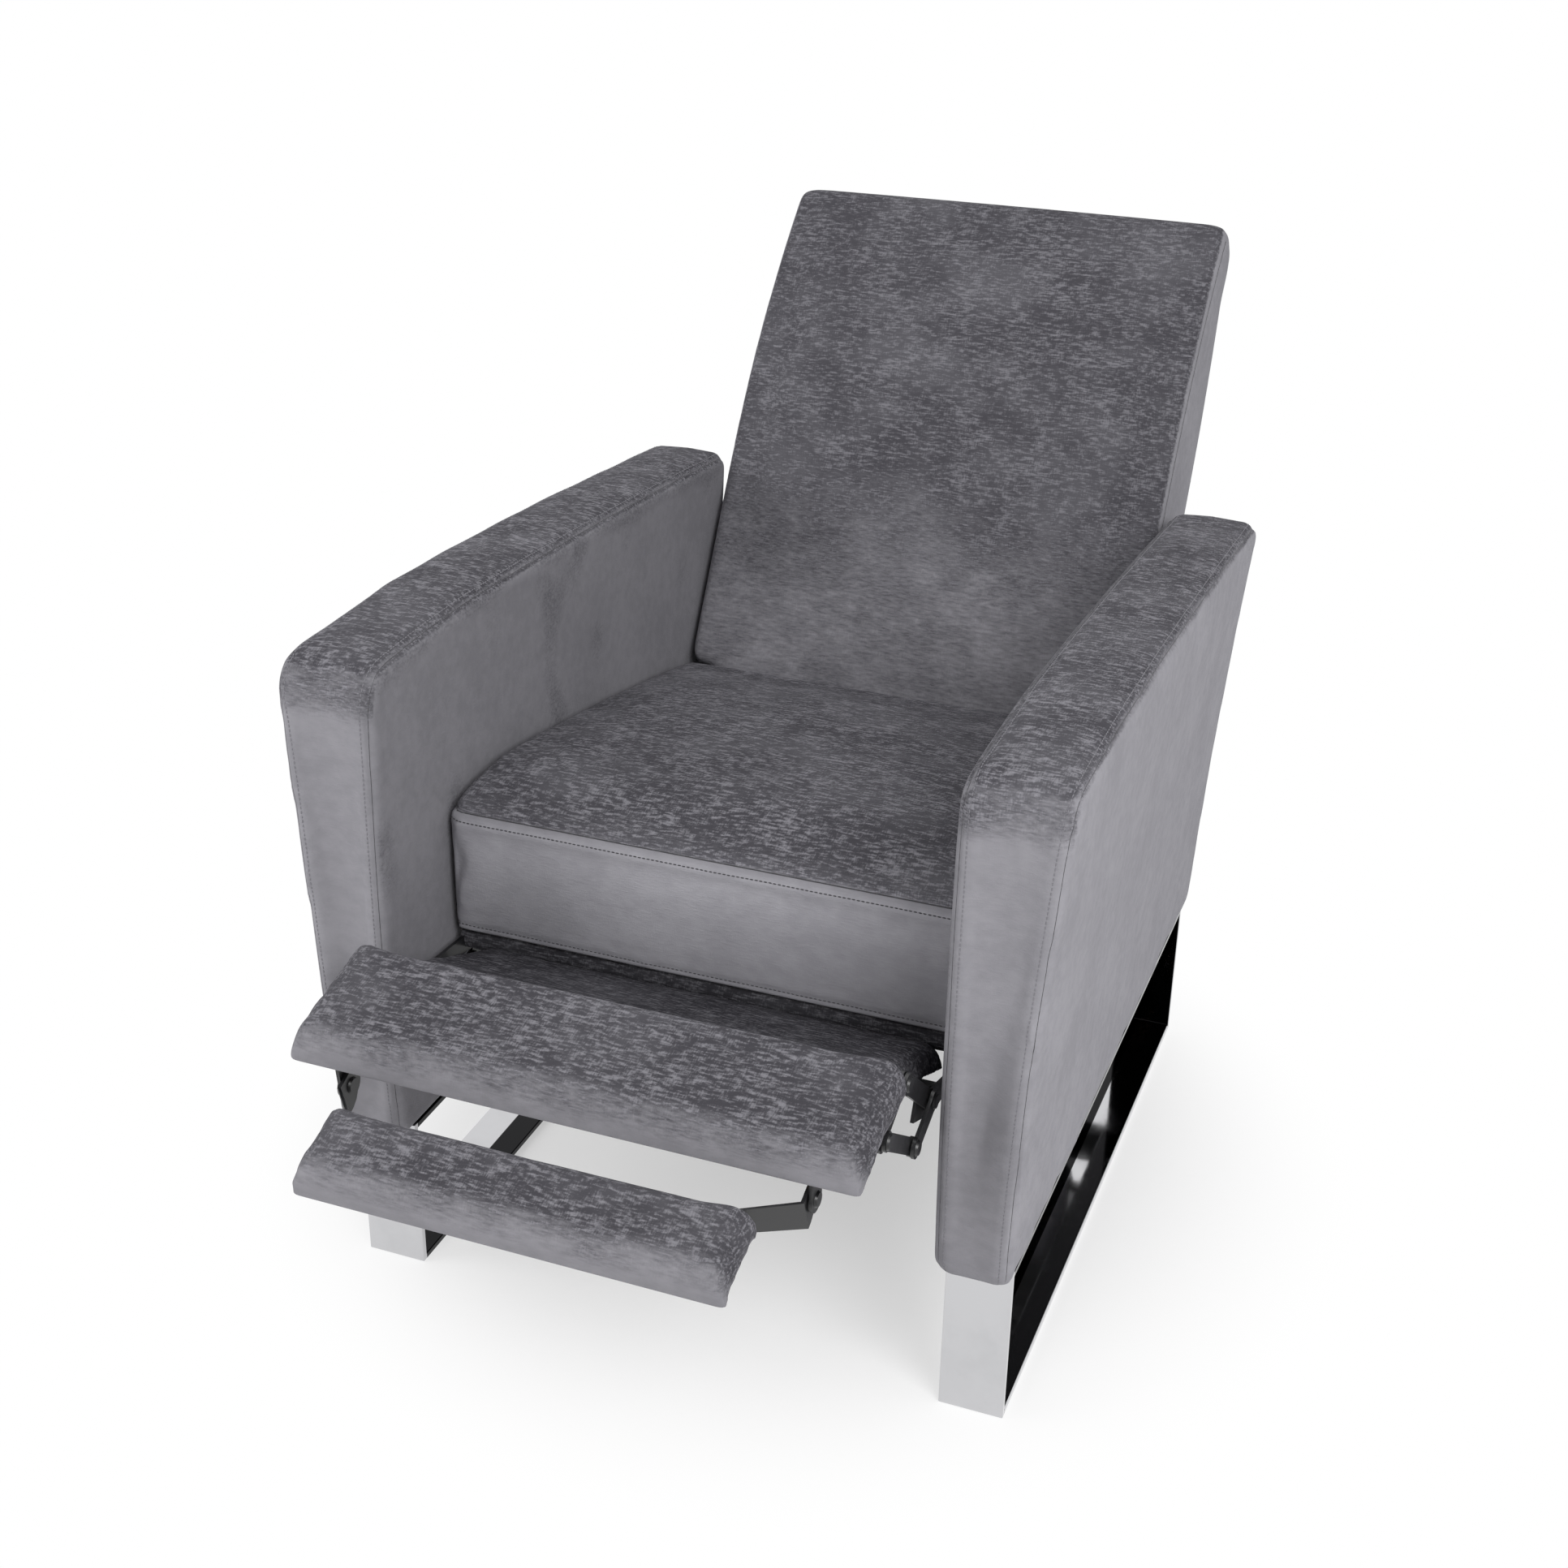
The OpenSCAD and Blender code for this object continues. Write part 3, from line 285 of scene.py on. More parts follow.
@dataclass(frozen=True)
class Velvet(Finish):
    """Crushed velvet: dark pile with pale flecks where it lies flat, and smooth pale pile where it stands; that
    pale pile, on the upright faces, is painted sheen.

    The flecks mix four noises, each with its cells per metre along X, Y and Z.
    """

    name: str = "CrushedVelvet"
    dark: Colour = (0.055, 0.053, 0.061)
    ground: Colour = (0.084, 0.082, 0.092)
    fleck: Colour = (0.210, 0.206, 0.227)
    # upright and upright_dark: the pale pile colours of the upright faces, painted sheen.
    upright: Colour = (0.262, 0.257, 0.278)
    upright_dark: Colour = (0.222, 0.218, 0.237)
    flecked: float = 1.0
    sheen: float = 0.05
    gloss: float = 0.1
    block: Point = (80, 230, 330)
    dash: Point = (120, 420, 640)
    warp: Point = (900, 170, 200)
    patch: Point = (22, 24, 26)
    cloud: Point = (9, 11, 11)
    nap: Point = (60, 90, 90)
    fibre: Point = (1500, 1500, 1500)

    def material(self) -> bpy.types.Material:
        """Builds the material."""
        graph = self.graph()
        block, patch = graph.grain(self.block, 2, 0.5), graph.grain(self.patch, 2, 0.5)
        dash, warp = graph.grain(self.dash, 2, 0.6), graph.grain(self.warp, 2, 0.6)
        cloud, nap = graph.grain(self.cloud, 3, 0.6), graph.grain(self.nap, 3, 0.6)
        fleck = (block * 0.34 + dash * 0.46 + warp * 0.26 + patch * 0.15).above(0.555, 0.755) * self.flecked
        # Where the lay attribute is low the pile takes the pale upright colours, painted sheen; where it is high,
        # the flecks of the crushed pile.
        lay = graph.attribute("lay")
        ragged = ((patch - 0.5) * 0.7 + (block - 0.5) * 0.9 + (warp - 0.5) * 0.4) * (lay * (1 - lay) * 4)
        lying = (lay + ragged).above(0.12, 0.88)
        ground = graph.mix(cloud.above(0.40, 0.66), self.dark, self.ground)
        flat = graph.mix(fleck, ground, self.fleck)
        upright_sheen = graph.mix((cloud * 0.6 + nap * 0.6).above(0.4, 0.8), self.upright_dark, self.upright)
        pile = graph.mix(lying, upright_sheen, flat)
        # The tone attribute carries painted light and shade; the cloud adds a random tone.
        tone = graph.attribute("tone") + (cloud - 0.5) * 0.06
        shaded = graph.mix(1.0, pile, tone, "MULTIPLY")
        height = graph.grain(self.fibre, 2, 0.6) * 0.45 + dash * 0.35 + fleck * 0.35
        return graph.finish({"Base Color": shaded, "Roughness": 0.94 - fleck * 0.14,
                             "Specular IOR Level": self.gloss, "Sheen Weight": self.sheen, "Sheen Roughness": 0.38,
                             "Sheen Tint": (0.78, 0.77, 0.82)}, height, 0.0006, 0.45)


@dataclass(frozen=True)
class Chrome(Finish):
    """Polished chrome plate with a faint haze of handling, dark inside the leg loops as in the photograph.

    The dark is a painted dark reflection, on the posts' inner faces, the upper bar's underside and the inner half
    of the lower bar's top.
    """

    name: str = "Chrome"
    colour: Colour = (0.60, 0.60, 0.615)
    hazed: Colour = (0.52, 0.52, 0.535)
    # dark: the colour of the painted dark reflection inside the loops.
    dark: Colour = (0.012, 0.012, 0.013)
    half: float = 284 * MM
    sill: float = 20 * MM
    roof: float = 150 * MM
    post: float = 339 * MM

    def material(self) -> bpy.types.Material:
        """Builds the material."""
        graph = self.graph()
        haze = graph.grain((14, 14, 14), 4, 0.6).above(0.42, 0.75)
        polish = graph.grain((700, 700, 700), 2, 0.5)
        across, along, height = graph.axes()
        inner = 1 - (across * across).above((self.half - 1 * MM) ** 2, self.half ** 2)
        sill = inner * (1 - height.above(self.sill - 1 * MM, self.sill))
        roof = height.above(self.roof - 0.5 * MM, self.roof)
        spread = along * along
        post = spread.above((self.post - 0.8 * MM) ** 2, (self.post - 0.4 * MM) ** 2)
        inside = 1 - spread.above((self.post + 0.2 * MM) ** 2, (self.post + 0.5 * MM) ** 2)
        # Painted dark reflection inside the loops.
        dark_reflection = (sill + roof + post).above(0, 1) * inside
        bright = graph.mix(haze * 0.5, self.colour, self.hazed)
        return graph.finish({"Base Color": graph.mix(dark_reflection, bright, self.dark),
                             "Metallic": 1.0, "Roughness": 0.05 + haze * 0.08}, polish, 0.00001, 0.2)


@dataclass(frozen=True)
class PaintedSteel(Finish):
    """Satin black paint on pressed plates, rubbed thinner in places."""

    name: str = "BlackSteel"
    colour: Colour = (0.008, 0.008, 0.009)
    rubbed: Colour = (0.022, 0.022, 0.024)

    def material(self) -> bpy.types.Material:
        """Builds the material."""
        graph = self.graph()
        wear = graph.grain((45, 45, 45), 5, 0.65).above(0.52, 0.78)
        peel = graph.grain((420, 420, 420), 2, 0.5)
        return graph.finish({"Base Color": graph.mix(wear, self.colour, self.rubbed), "Metallic": 0.1,
                             "Roughness": 0.36 + wear * 0.2, "Coat Weight": 0.15}, peel, 0.00012, 0.3)


@dataclass(frozen=True)
class Zinc(Finish):
    """Zinc plate on the bolts, screws and springs."""

    name: str = "ZincPlate"
    colour: Colour = (0.52, 0.52, 0.54)

    def material(self) -> bpy.types.Material:
        """Builds the material."""
        graph = self.graph()
        spangle = graph.grain((160, 160, 160), 3, 0.6).above(0.35, 0.7)
        return graph.finish({"Base Color": graph.mix(spangle, self.colour, (0.66, 0.66, 0.68)), "Metallic": 1.0,
                             "Roughness": 0.28 + spangle * 0.15}, spangle, 0.00005, 0.3)


@dataclass(frozen=True)
class Timber(Finish):
    """Planed softwood with its grain along one axis, under black dust cloth where it faces the floor."""

    along: Point
    pale: Colour = (0.60, 0.42, 0.25)
    dark: Colour = (0.38, 0.235, 0.12)
    cloth: Colour = (0.012, 0.012, 0.013)
    cloth_below: float = 158.5 * MM

    def material(self) -> bpy.types.Material:
        """Builds the material."""
        graph = self.graph()
        rings = graph.grain(self.along, 4, 0.6)
        pores = graph.grain((self.along[0] * 9, self.along[1] * 9, self.along[2] * 9), 2, 0.5)
        figure = (rings * 0.75 + pores * 0.25).above(0.38, 0.66)
        height = graph.axes()[2]
        bare = height.above(self.cloth_below - 0.2 * MM, self.cloth_below)
        wood = graph.mix(figure, self.pale, self.dark)
        return graph.finish({"Base Color": graph.mix(bare, self.cloth, wood),
                             "Roughness": 0.8 - bare * 0.2 + figure * 0.12}, pores, 0.0003, 0.4)


@dataclass(frozen=True)
class Webbing(Finish):
    """Woven elastic webbing behind the back's foam."""

    name: str = "Webbing"
    dark: Colour = (0.02, 0.02, 0.022)
    pale: Colour = (0.085, 0.083, 0.09)

    def material(self) -> bpy.types.Material:
        """Builds the material."""
        graph = self.graph()
        across = graph.value("ShaderNodeTexWave", {"bands_direction": "X"},
                             {"Vector": graph.place, "Scale": 120.0, "Distortion": 0.6}, "Fac")
        along = graph.value("ShaderNodeTexWave", {"bands_direction": "Z"},
                            {"Vector": graph.place, "Scale": 170.0, "Distortion": 0.6}, "Fac")
        weave = (across * along).above(0.1, 0.6)
        return graph.finish({"Base Color": graph.mix(weave, self.dark, self.pale), "Roughness": 0.85,
                             "Sheen Weight": 0.1}, weave, 0.0005, 0.5)


@dataclass(frozen=True)
class Thread(Finish):
    """Twisted sewing thread, and the dark line that stands for a seam's painted shade."""

    colour: Colour

    def material(self) -> bpy.types.Material:
        """Builds the material."""
        graph = self.graph()
        twist = graph.grain((900, 900, 900), 2, 0.5)
        pale = tuple(min(1.0, 1.25 * c) for c in self.colour)
        return graph.finish({"Base Color": graph.mix(twist, self.colour, pale), "Roughness": 0.8,
                             "Sheen Weight": 0.15}, twist, 0.0002, 0.4)


# Work on meshes


def only(*objects: bpy.types.Object) -> None:
    """Selects just these objects and makes the first one active.

    Args:
        objects: The objects to select.
    """
    bpy.ops.object.select_all(action="DESELECT")
    for piece in objects:
        piece.select_set(True)
    bpy.context.view_layer.objects.active = objects[0]


def places(piece: bpy.types.Object) -> Array:
    """The positions of a mesh's points, one row each."""
    found = np.empty(len(piece.data.vertices) * 3, np.float32)
    piece.data.vertices.foreach_get("co", found)
    return found.reshape(-1, 3).astype(float)


def normals(piece: bpy.types.Object) -> Array:
    """The normals at a mesh's points, one row each."""
    found = np.empty(len(piece.data.vertices) * 3, np.float32)
    piece.data.vertices.foreach_get("normal", found)
    return found.reshape(-1, 3).astype(float)


def put(piece: bpy.types.Object, points: Array) -> None:
    """Moves a mesh's points.

    Args:
        piece: The mesh object.
        points: The new positions, one row each.
    """
    piece.data.vertices.foreach_set("co", points.astype(np.float32).ravel())
    piece.data.update()


def bake_modifiers(piece: bpy.types.Object) -> None:
    """Applies all of a piece's modifiers, from first to last."""
    only(piece)
    for modifier in list(piece.modifiers):
        bpy.ops.object.modifier_apply(modifier=modifier.name)


def copied(name: str, nodes: Sequence[str]) -> bpy.types.Object:
    """Copies solids of the model into one new object with merged points.

    Args:
        name: The new object's name.
        nodes: The solids' names.

    Returns:
        The new object, at the origin.
    """
    copies = []
    for node in nodes:
        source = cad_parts[node]
        copy = bpy.data.objects.new(name, source.data.copy())
        bpy.context.scene.collection.objects.link(copy)
        copies.append(copy)
    only(*copies)
    if len(copies) > 1:
        bpy.ops.object.join()
    piece = bpy.context.view_layer.objects.active
    bpy.ops.object.mode_set(mode="EDIT")
    bpy.ops.mesh.select_all(action="SELECT")
    bpy.ops.mesh.remove_doubles(threshold=0.00001)
    bpy.ops.object.mode_set(mode="OBJECT")
    piece.data.materials.clear()
    return piece


def face_chosen(piece: bpy.types.Object, wanted: Callable[[bpy.types.MeshPolygon], bool]) -> None:
    """Enters edit mode with just some of a piece's faces selected.

    Args:
        piece: The mesh object.
        wanted: Tells whether a face is one of them.
    """
    only(piece)
    bpy.ops.object.mode_set(mode="EDIT")
    bpy.ops.mesh.select_mode(type="FACE")
    bpy.ops.mesh.select_all(action="DESELECT")
    bpy.ops.object.mode_set(mode="OBJECT")
    for face in piece.data.polygons:
        face.select = wanted(face)
    bpy.ops.object.mode_set(mode="EDIT")


def named(name: str) -> bpy.types.Object:
    """Names the new primitive and puts its place into its mesh.

    Args:
        name: The object's name.

    Returns:
        The object.
    """
    piece = bpy.context.view_layer.objects.active
    piece.name = name
    bpy.ops.object.transform_apply(location=True, rotation=True, scale=True)
    return piece


def block(name: str, low: Sequence[float], high: Sequence[float]) -> bpy.types.Object:
    """Adds a plain block between two corners, as the start of a piece.

    Args:
        name: The new object's name.
        low: Its lowest corner.
        high: Its highest corner.

    Returns:
        The block, with its place in its mesh.
    """
    low, high = np.array(low), np.array(high)
    bpy.ops.object.select_all(action="DESELECT")
    bpy.ops.mesh.primitive_cube_add(size=1, location=(low + high) / 2, scale=high - low)
    return named(name)


def divided(piece: bpy.types.Object, levels: int) -> None:
    """Cuts each of a piece's faces into four, as many times as levels says, without rounding it."""
    cuts = piece.modifiers.new("Cuts", "SUBSURF")
    cuts.subdivision_type = "SIMPLE"
    cuts.levels = cuts.render_levels = levels
    bake_modifiers(piece)


def smoothed(piece: bpy.types.Object, degrees: float | None = None) -> None:
    """Shades a piece smooth.

    Args:
        piece: The mesh object.
        degrees: Edges sharper than this stay sharp. None keeps no edge sharp.
    """
    only(piece)
    if degrees is None:
        bpy.ops.object.shade_smooth()
    else:
        bpy.ops.object.shade_smooth_by_angle(angle=math.radians(degrees))


def painted(piece: bpy.types.Object, material: bpy.types.Material) -> None:
    """Gives a whole piece one material."""
    piece.data.materials.clear()
    piece.data.materials.append(material)


def numbers_on(piece: bpy.types.Object, name: str, amounts: Array) -> None:
    """Stores a number at each of a mesh's points.

    Args:
        piece: The mesh object.
        name: The attribute's name.
        amounts: One number a point.
    """
    layer = piece.data.attributes.get(name) or piece.data.attributes.new(name, "FLOAT", "POINT")
    layer.data.foreach_set("value", amounts.astype(np.float32))


def step(amounts: Array, low: float, high: float) -> Array:
    """A smooth step from 0 at low to 1 at high, for each amount."""
    share = np.clip((amounts - low) / (high - low), 0, 1)
    return share * share * (3 - 2 * share)


def bumps(points: Array, scales: Point, seed: float) -> Array:
    """Smooth noise at each point, from about -1 to 1.

    Args:
        points: Positions, one row each.
        scales: Cells per metre along X, Y and Z.
        seed: A shift that makes one noise differ from another.

    Returns:
        One number a point.
    """
    moved = points * np.array(scales) + seed
    return np.array([noise.noise(Vector(p)) for p in moved])


# Seams


@dataclass
class Seam:
    """A line sewn along a padded piece."""

    points: list[Point]
    depth: float = 1.3 * MM
    width: float = 3.2 * MM
    # line: radius of the dark tube laid in the groove as painted seam shade; 0 lays none.
    line: float = 0.75 * MM

    def spread(self, pitch: float) -> Array:
        """Points at an even distance along the seam.

        Args:
            pitch: Their distance in metres.

        Returns:
            The points, one row each.
        """
        corners = np.array(self.points, float)
        lengths = np.r_[0, np.cumsum(np.linalg.norm(np.diff(corners, axis=0), axis=1))]
        count = max(2, int(lengths[-1] / pitch) + 1)
        marks = np.linspace(0, lengths[-1], count)
        return np.stack([np.interp(marks, lengths, corners[:, k]) for k in range(3)], axis=1)


@dataclass
class Stitch:
    """A row of stitches, at a distance to one side of a seam."""

    seam: Seam
    shift: Point
    pitch: float = 4.2 * MM
    length: float = 3.2 * MM
    radius: float = 0.5 * MM
    dimple: float = 0.55 * MM


def snapped(tree: BVHTree, points: Array) -> tuple[Array, Array]:
    """Brings points onto a surface.

    Args:
        tree: The surface.
        points: The points, one row each.

    Returns:
        The places on the surface and the surface's normals there.
    """
    found = [tree.find_nearest(Vector(p)) for p in points]
    return (np.array([f[0] for f in found], float), np.array([f[1] for f in found], float))


def surface_of(piece: bpy.types.Object) -> BVHTree:
    """A piece's surface, for finding places on it."""
    return BVHTree.FromPolygons([v.co for v in piece.data.vertices],
                                [tuple(p.vertices) for p in piece.data.polygons])


def distances(points: Array, lines: Iterable[Array]) -> Array:
    """How far each point lies from the nearest of some lines' points.

    Args:
        points: The points, one row each.
        lines: The lines' points.

    Returns:
        One distance a point.
    """
    marks = np.vstack(list(lines))
    tree = KDTree(len(marks))
    for index, mark in enumerate(marks):
        tree.insert(Vector(mark), index)
    tree.balance()
    return np.array([tree.find(Vector(p))[2] for p in points])


def drawn_line(name: str, runs: list[Array], radius: float) -> bpy.types.Object:
    """Lays a thin round line along runs of points.

    Args:
        name: The new object's name.
        runs: The points of each run.
        radius: The line's radius.

    Returns:
        The line as a mesh at the origin.
    """
    curve = bpy.data.curves.new(name, "CURVE")
    curve.dimensions = "3D"
    curve.bevel_depth = radius
    curve.bevel_resolution = 0
    curve.use_fill_caps = True
    for run in runs:
        spline = curve.splines.new("POLY")
        spline.points.add(len(run) - 1)
        spline.points.foreach_set("co", np.c_[run, np.ones(len(run))].ravel())
    piece = bpy.data.objects.new(name, curve)
    bpy.context.scene.collection.objects.link(piece)
    only(piece)
    bpy.ops.object.convert(target="MESH")
    return bpy.context.view_layer.objects.active


def stitch_row(name: str, rows: list[tuple[Array, Array, float, float]]) -> bpy.types.Object:
    """Copies one stitch along rows of places.

    Args:
        name: The new object's name.
        rows: For each row its places, the surface's normals there, and a stitch's length and radius.

    Returns:
        The stitches as one mesh at the origin.
    """
    bpy.ops.object.select_all(action="DESELECT")
    bpy.ops.mesh.primitive_uv_sphere_add(segments=6, ring_count=4, radius=1)
    piece = named(name)
    shape = places(piece)
    faces = [tuple(p.vertices) for p in piece.data.polygons]
    points, loops = [], []
    for spots, ups, length, radius in rows:
        ways = np.gradient(spots, axis=0)
        for spot, way, up in zip(spots, ways, ups):
            way = way / max(1e-9, np.linalg.norm(way))
            across = np.cross(up, way)
            across /= max(1e-9, np.linalg.norm(across))
            up = np.cross(way, across)
            base = len(points) * len(shape)
            points.append(spot + up * radius * 0.25 + shape[:, 2:] * way * length / 2
                          + shape[:, :1] * across * radius + shape[:, 1:2] * up * radius)
            loops += [tuple(base + i for i in face) for face in faces]
    mesh = bpy.data.meshes.new(name)
    mesh.from_pydata(np.vstack(points).tolist(), [], loops)
    old = piece.data
    piece.data = mesh
    bpy.data.meshes.remove(old)
    return piece


# Padded pieces


@dataclass
class Padding:
    """A stuffed piece that grows out of copies of the model's solids."""

    name: str
    body: str
    sources: tuple[str, ...]
    stands_for: tuple[str, ...]
    slot: str
    velvet: bpy.types.Material
    # line: the colour of the seams' painted shade.
    line: bpy.types.Material
    thread: bpy.types.Material
    voxel: float = 6 * MM
    quick_voxel: float = 8 * MM
    pressure: float = 4.0
    moments: int = 20
    cap: float = 6 * MM
    draw: float = 2 * MM
    held: float = 24 * MM
    fill: float = 0.7
    seams: list[Seam] = field(default_factory=list)
    stitches: list[Stitch] = field(default_factory=list)
    tone: float = 1.0
    start: bpy.types.Object | None = None

    def shell(self) -> bpy.types.Object:
        """Remeshes the joined solids, or the block to start from, and keeps the outer skin."""
        piece = self.start or copied(self.name, self.sources)
        remesh = piece.modifiers.new("Remesh", "REMESH")
        remesh.mode = "VOXEL"
        remesh.voxel_size = self.voxel
        bake_modifiers(piece)
        work = bmesh.new()
        work.from_mesh(piece.data)
        unseen, islands = set(work.verts), []
        while unseen:
            island, edge = set(), [unseen.pop()]
            while edge:
                point = edge.pop()
                island.add(point)
                for joined in point.link_edges:
                    other = joined.other_vert(point)
                    if other in unseen:
                        unseen.discard(other)
                        edge.append(other)
            islands.append(island)
        islands.sort(key=len)
        for island in islands[:-1]:
            bmesh.ops.delete(work, geom=list(island), context="VERTS")
        work.to_mesh(piece.data)
        work.free()
        relax = piece.modifiers.new("Relax", "SMOOTH")
        relax.factor = 0.5
        relax.iterations = 3
        bake_modifiers(piece)
        return piece

    def stuffed(self, piece: bpy.types.Object, room: Field) -> None:
        """Blows the piece up with a cloth simulation, held back along its seams.

        Args:
            piece: The remeshed skin.
            room: Gives, for places and normals, the share of the cap that each point may swell by.
        """
        start = places(piece)
        lines = [seam.spread(4 * MM) for seam in self.seams]
        free = step(distances(start, lines), 2 * MM, self.held) if lines else np.ones(len(start))
        free = free * room(start, normals(piece))
        begin = start - normals(piece) * (self.draw * free)[:, None]
        put(piece, begin)
        cloth = piece.modifiers.new("Stuffing", "CLOTH")
        cloth.settings.quality = 4
        cloth.settings.mass = 0.25
        cloth.settings.use_pressure = True
        cloth.settings.uniform_pressure_force = self.pressure
        cloth.settings.effector_weights.gravity = 0
        cloth.point_cache.frame_start = 1
        cloth.point_cache.frame_end = self.moments
        for moment in range(1, self.moments + 1):
            bpy.context.scene.frame_set(moment)
        whole = piece.evaluated_get(bpy.context.evaluated_depsgraph_get())
        swollen = np.array([v.co for v in whole.data.vertices], float)
        piece.modifiers.remove(cloth)
        bpy.context.scene.frame_set(1)
        move = swollen - begin
        far = np.linalg.norm(move, axis=1)
        limit = self.cap * free
        kept = limit * np.tanh(far / np.maximum(limit, 1e-6)) / np.maximum(far, 1e-9)
        put(piece, begin + move * kept[:, None])

    def rounded(self, piece: bpy.types.Object) -> None:
        """Adds one level of subdivision."""
        finer = piece.modifiers.new("Finer", "SUBSURF")
        finer.levels = 1
        finer.render_levels = 1
        bake_modifiers(piece)

    def pressed(self, piece: bpy.types.Object, rows: list[Array]) -> None:
        """Presses the seams' grooves and the stitches' rows into the piece.

        Args:
            piece: The finished skin.
            rows: The places of each row of stitches.
        """
        points, ways = places(piece), normals(piece)
        for seam in self.seams:
            far = distances(points, [seam.spread(2 * MM)]) / seam.width
            points -= ways * (seam.depth * np.exp(-far ** 2))[:, None]
            points += ways * (0.35 * seam.depth * np.exp(-((far - 3.2) / 1.6) ** 2))[:, None]
        for row, stitch in zip(rows, self.stitches):
            far = distances(points, [row])
            points -= ways * (stitch.dimple * np.exp(-(far / (2.4 * MM)) ** 2))[:, None]
        put(piece, points)

    def made(self, room: Field, folds: Field, lay: Field, tone: Field | None = None) -> None:
        """Makes the whole piece with its seams and stitches, and fixes it to its body.

        Args:
            room: The share of the cap that each point may swell by.
            folds: How far each point moves out for folds and gathers, in metres.
            lay: How flat the pile lies at each point, from 0 to 1; where it is low, the pile is painted pale as
                sheen.
            tone: How light each point is, with painted light and shade in it. None makes all alike.
        """
        piece = self.shell()
        self.stuffed(piece, room)
        self.rounded(piece)
        ways = normals(piece)
        put(piece, places(piece) + ways * folds(places(piece), ways)[:, None])
        tree = surface_of(piece)
        rows = [snapped(tree, stitch.seam.spread(stitch.pitch) + np.array(stitch.shift))[0]
                for stitch in self.stitches]
        for seam in self.seams:
            spots, _ = snapped(tree, seam.spread(3 * MM))
            seam.points = [tuple(p) for p in spots]
        self.pressed(piece, rows)
        points, ways = places(piece), normals(piece)
        numbers_on(piece, "lay", lay(points, ways))
        numbers_on(piece, "tone", self.tone * (np.ones(len(points)) if tone is None else tone(points, ways)))
        smoothed(piece)
        painted(piece, self.velvet)
        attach(piece, self.body)
        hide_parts(*self.stands_for)
        self.sewn(piece, rows)
        log.info("%s: %d points", self.name, len(points))

    def sewn(self, piece: bpy.types.Object, rows: list[Array]) -> None:
        """Lays the seam lines, dark tubes of painted shade in the grooves, and the stitches on the finished skin.

        Args:
            piece: The padded piece.
            rows: The places of each row of stitches.
        """
        tree = surface_of(piece)
        sewing = []
        runs = []
        drawn = [seam for seam in self.seams if seam.line > 0]
        for seam in drawn:
            spots, ups = snapped(tree, seam.spread(5 * MM))
            runs.append(spots - ups * seam.line * 0.35)
        if runs:
            sewing.append((drawn_line(self.name + "SeamShadowLines", runs, drawn[0].line), self.line))
        sets = [(*snapped(tree, row), stitch.length, stitch.radius) for row, stitch in zip(rows, self.stitches)]
        if sets:
            sewing.append((stitch_row(self.name + "Stitches", sets), self.thread))
        for part, finish in sewing:
            smoothed(part)
            painted(part, finish)
            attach(part, self.body)


@dataclass
class Cloths:
    """The fabric finishes that the sub-assemblies share."""

    velvet: bpy.types.Material
    calm: bpy.types.Material
    # shaded: a velvet copy without sheen and gloss, for pieces in shade: painted shade.
    shaded: bpy.types.Material
    # line: the colour of the seams' painted shade.
    line: bpy.types.Material
    thread: bpy.types.Material


# Sub-assemblies


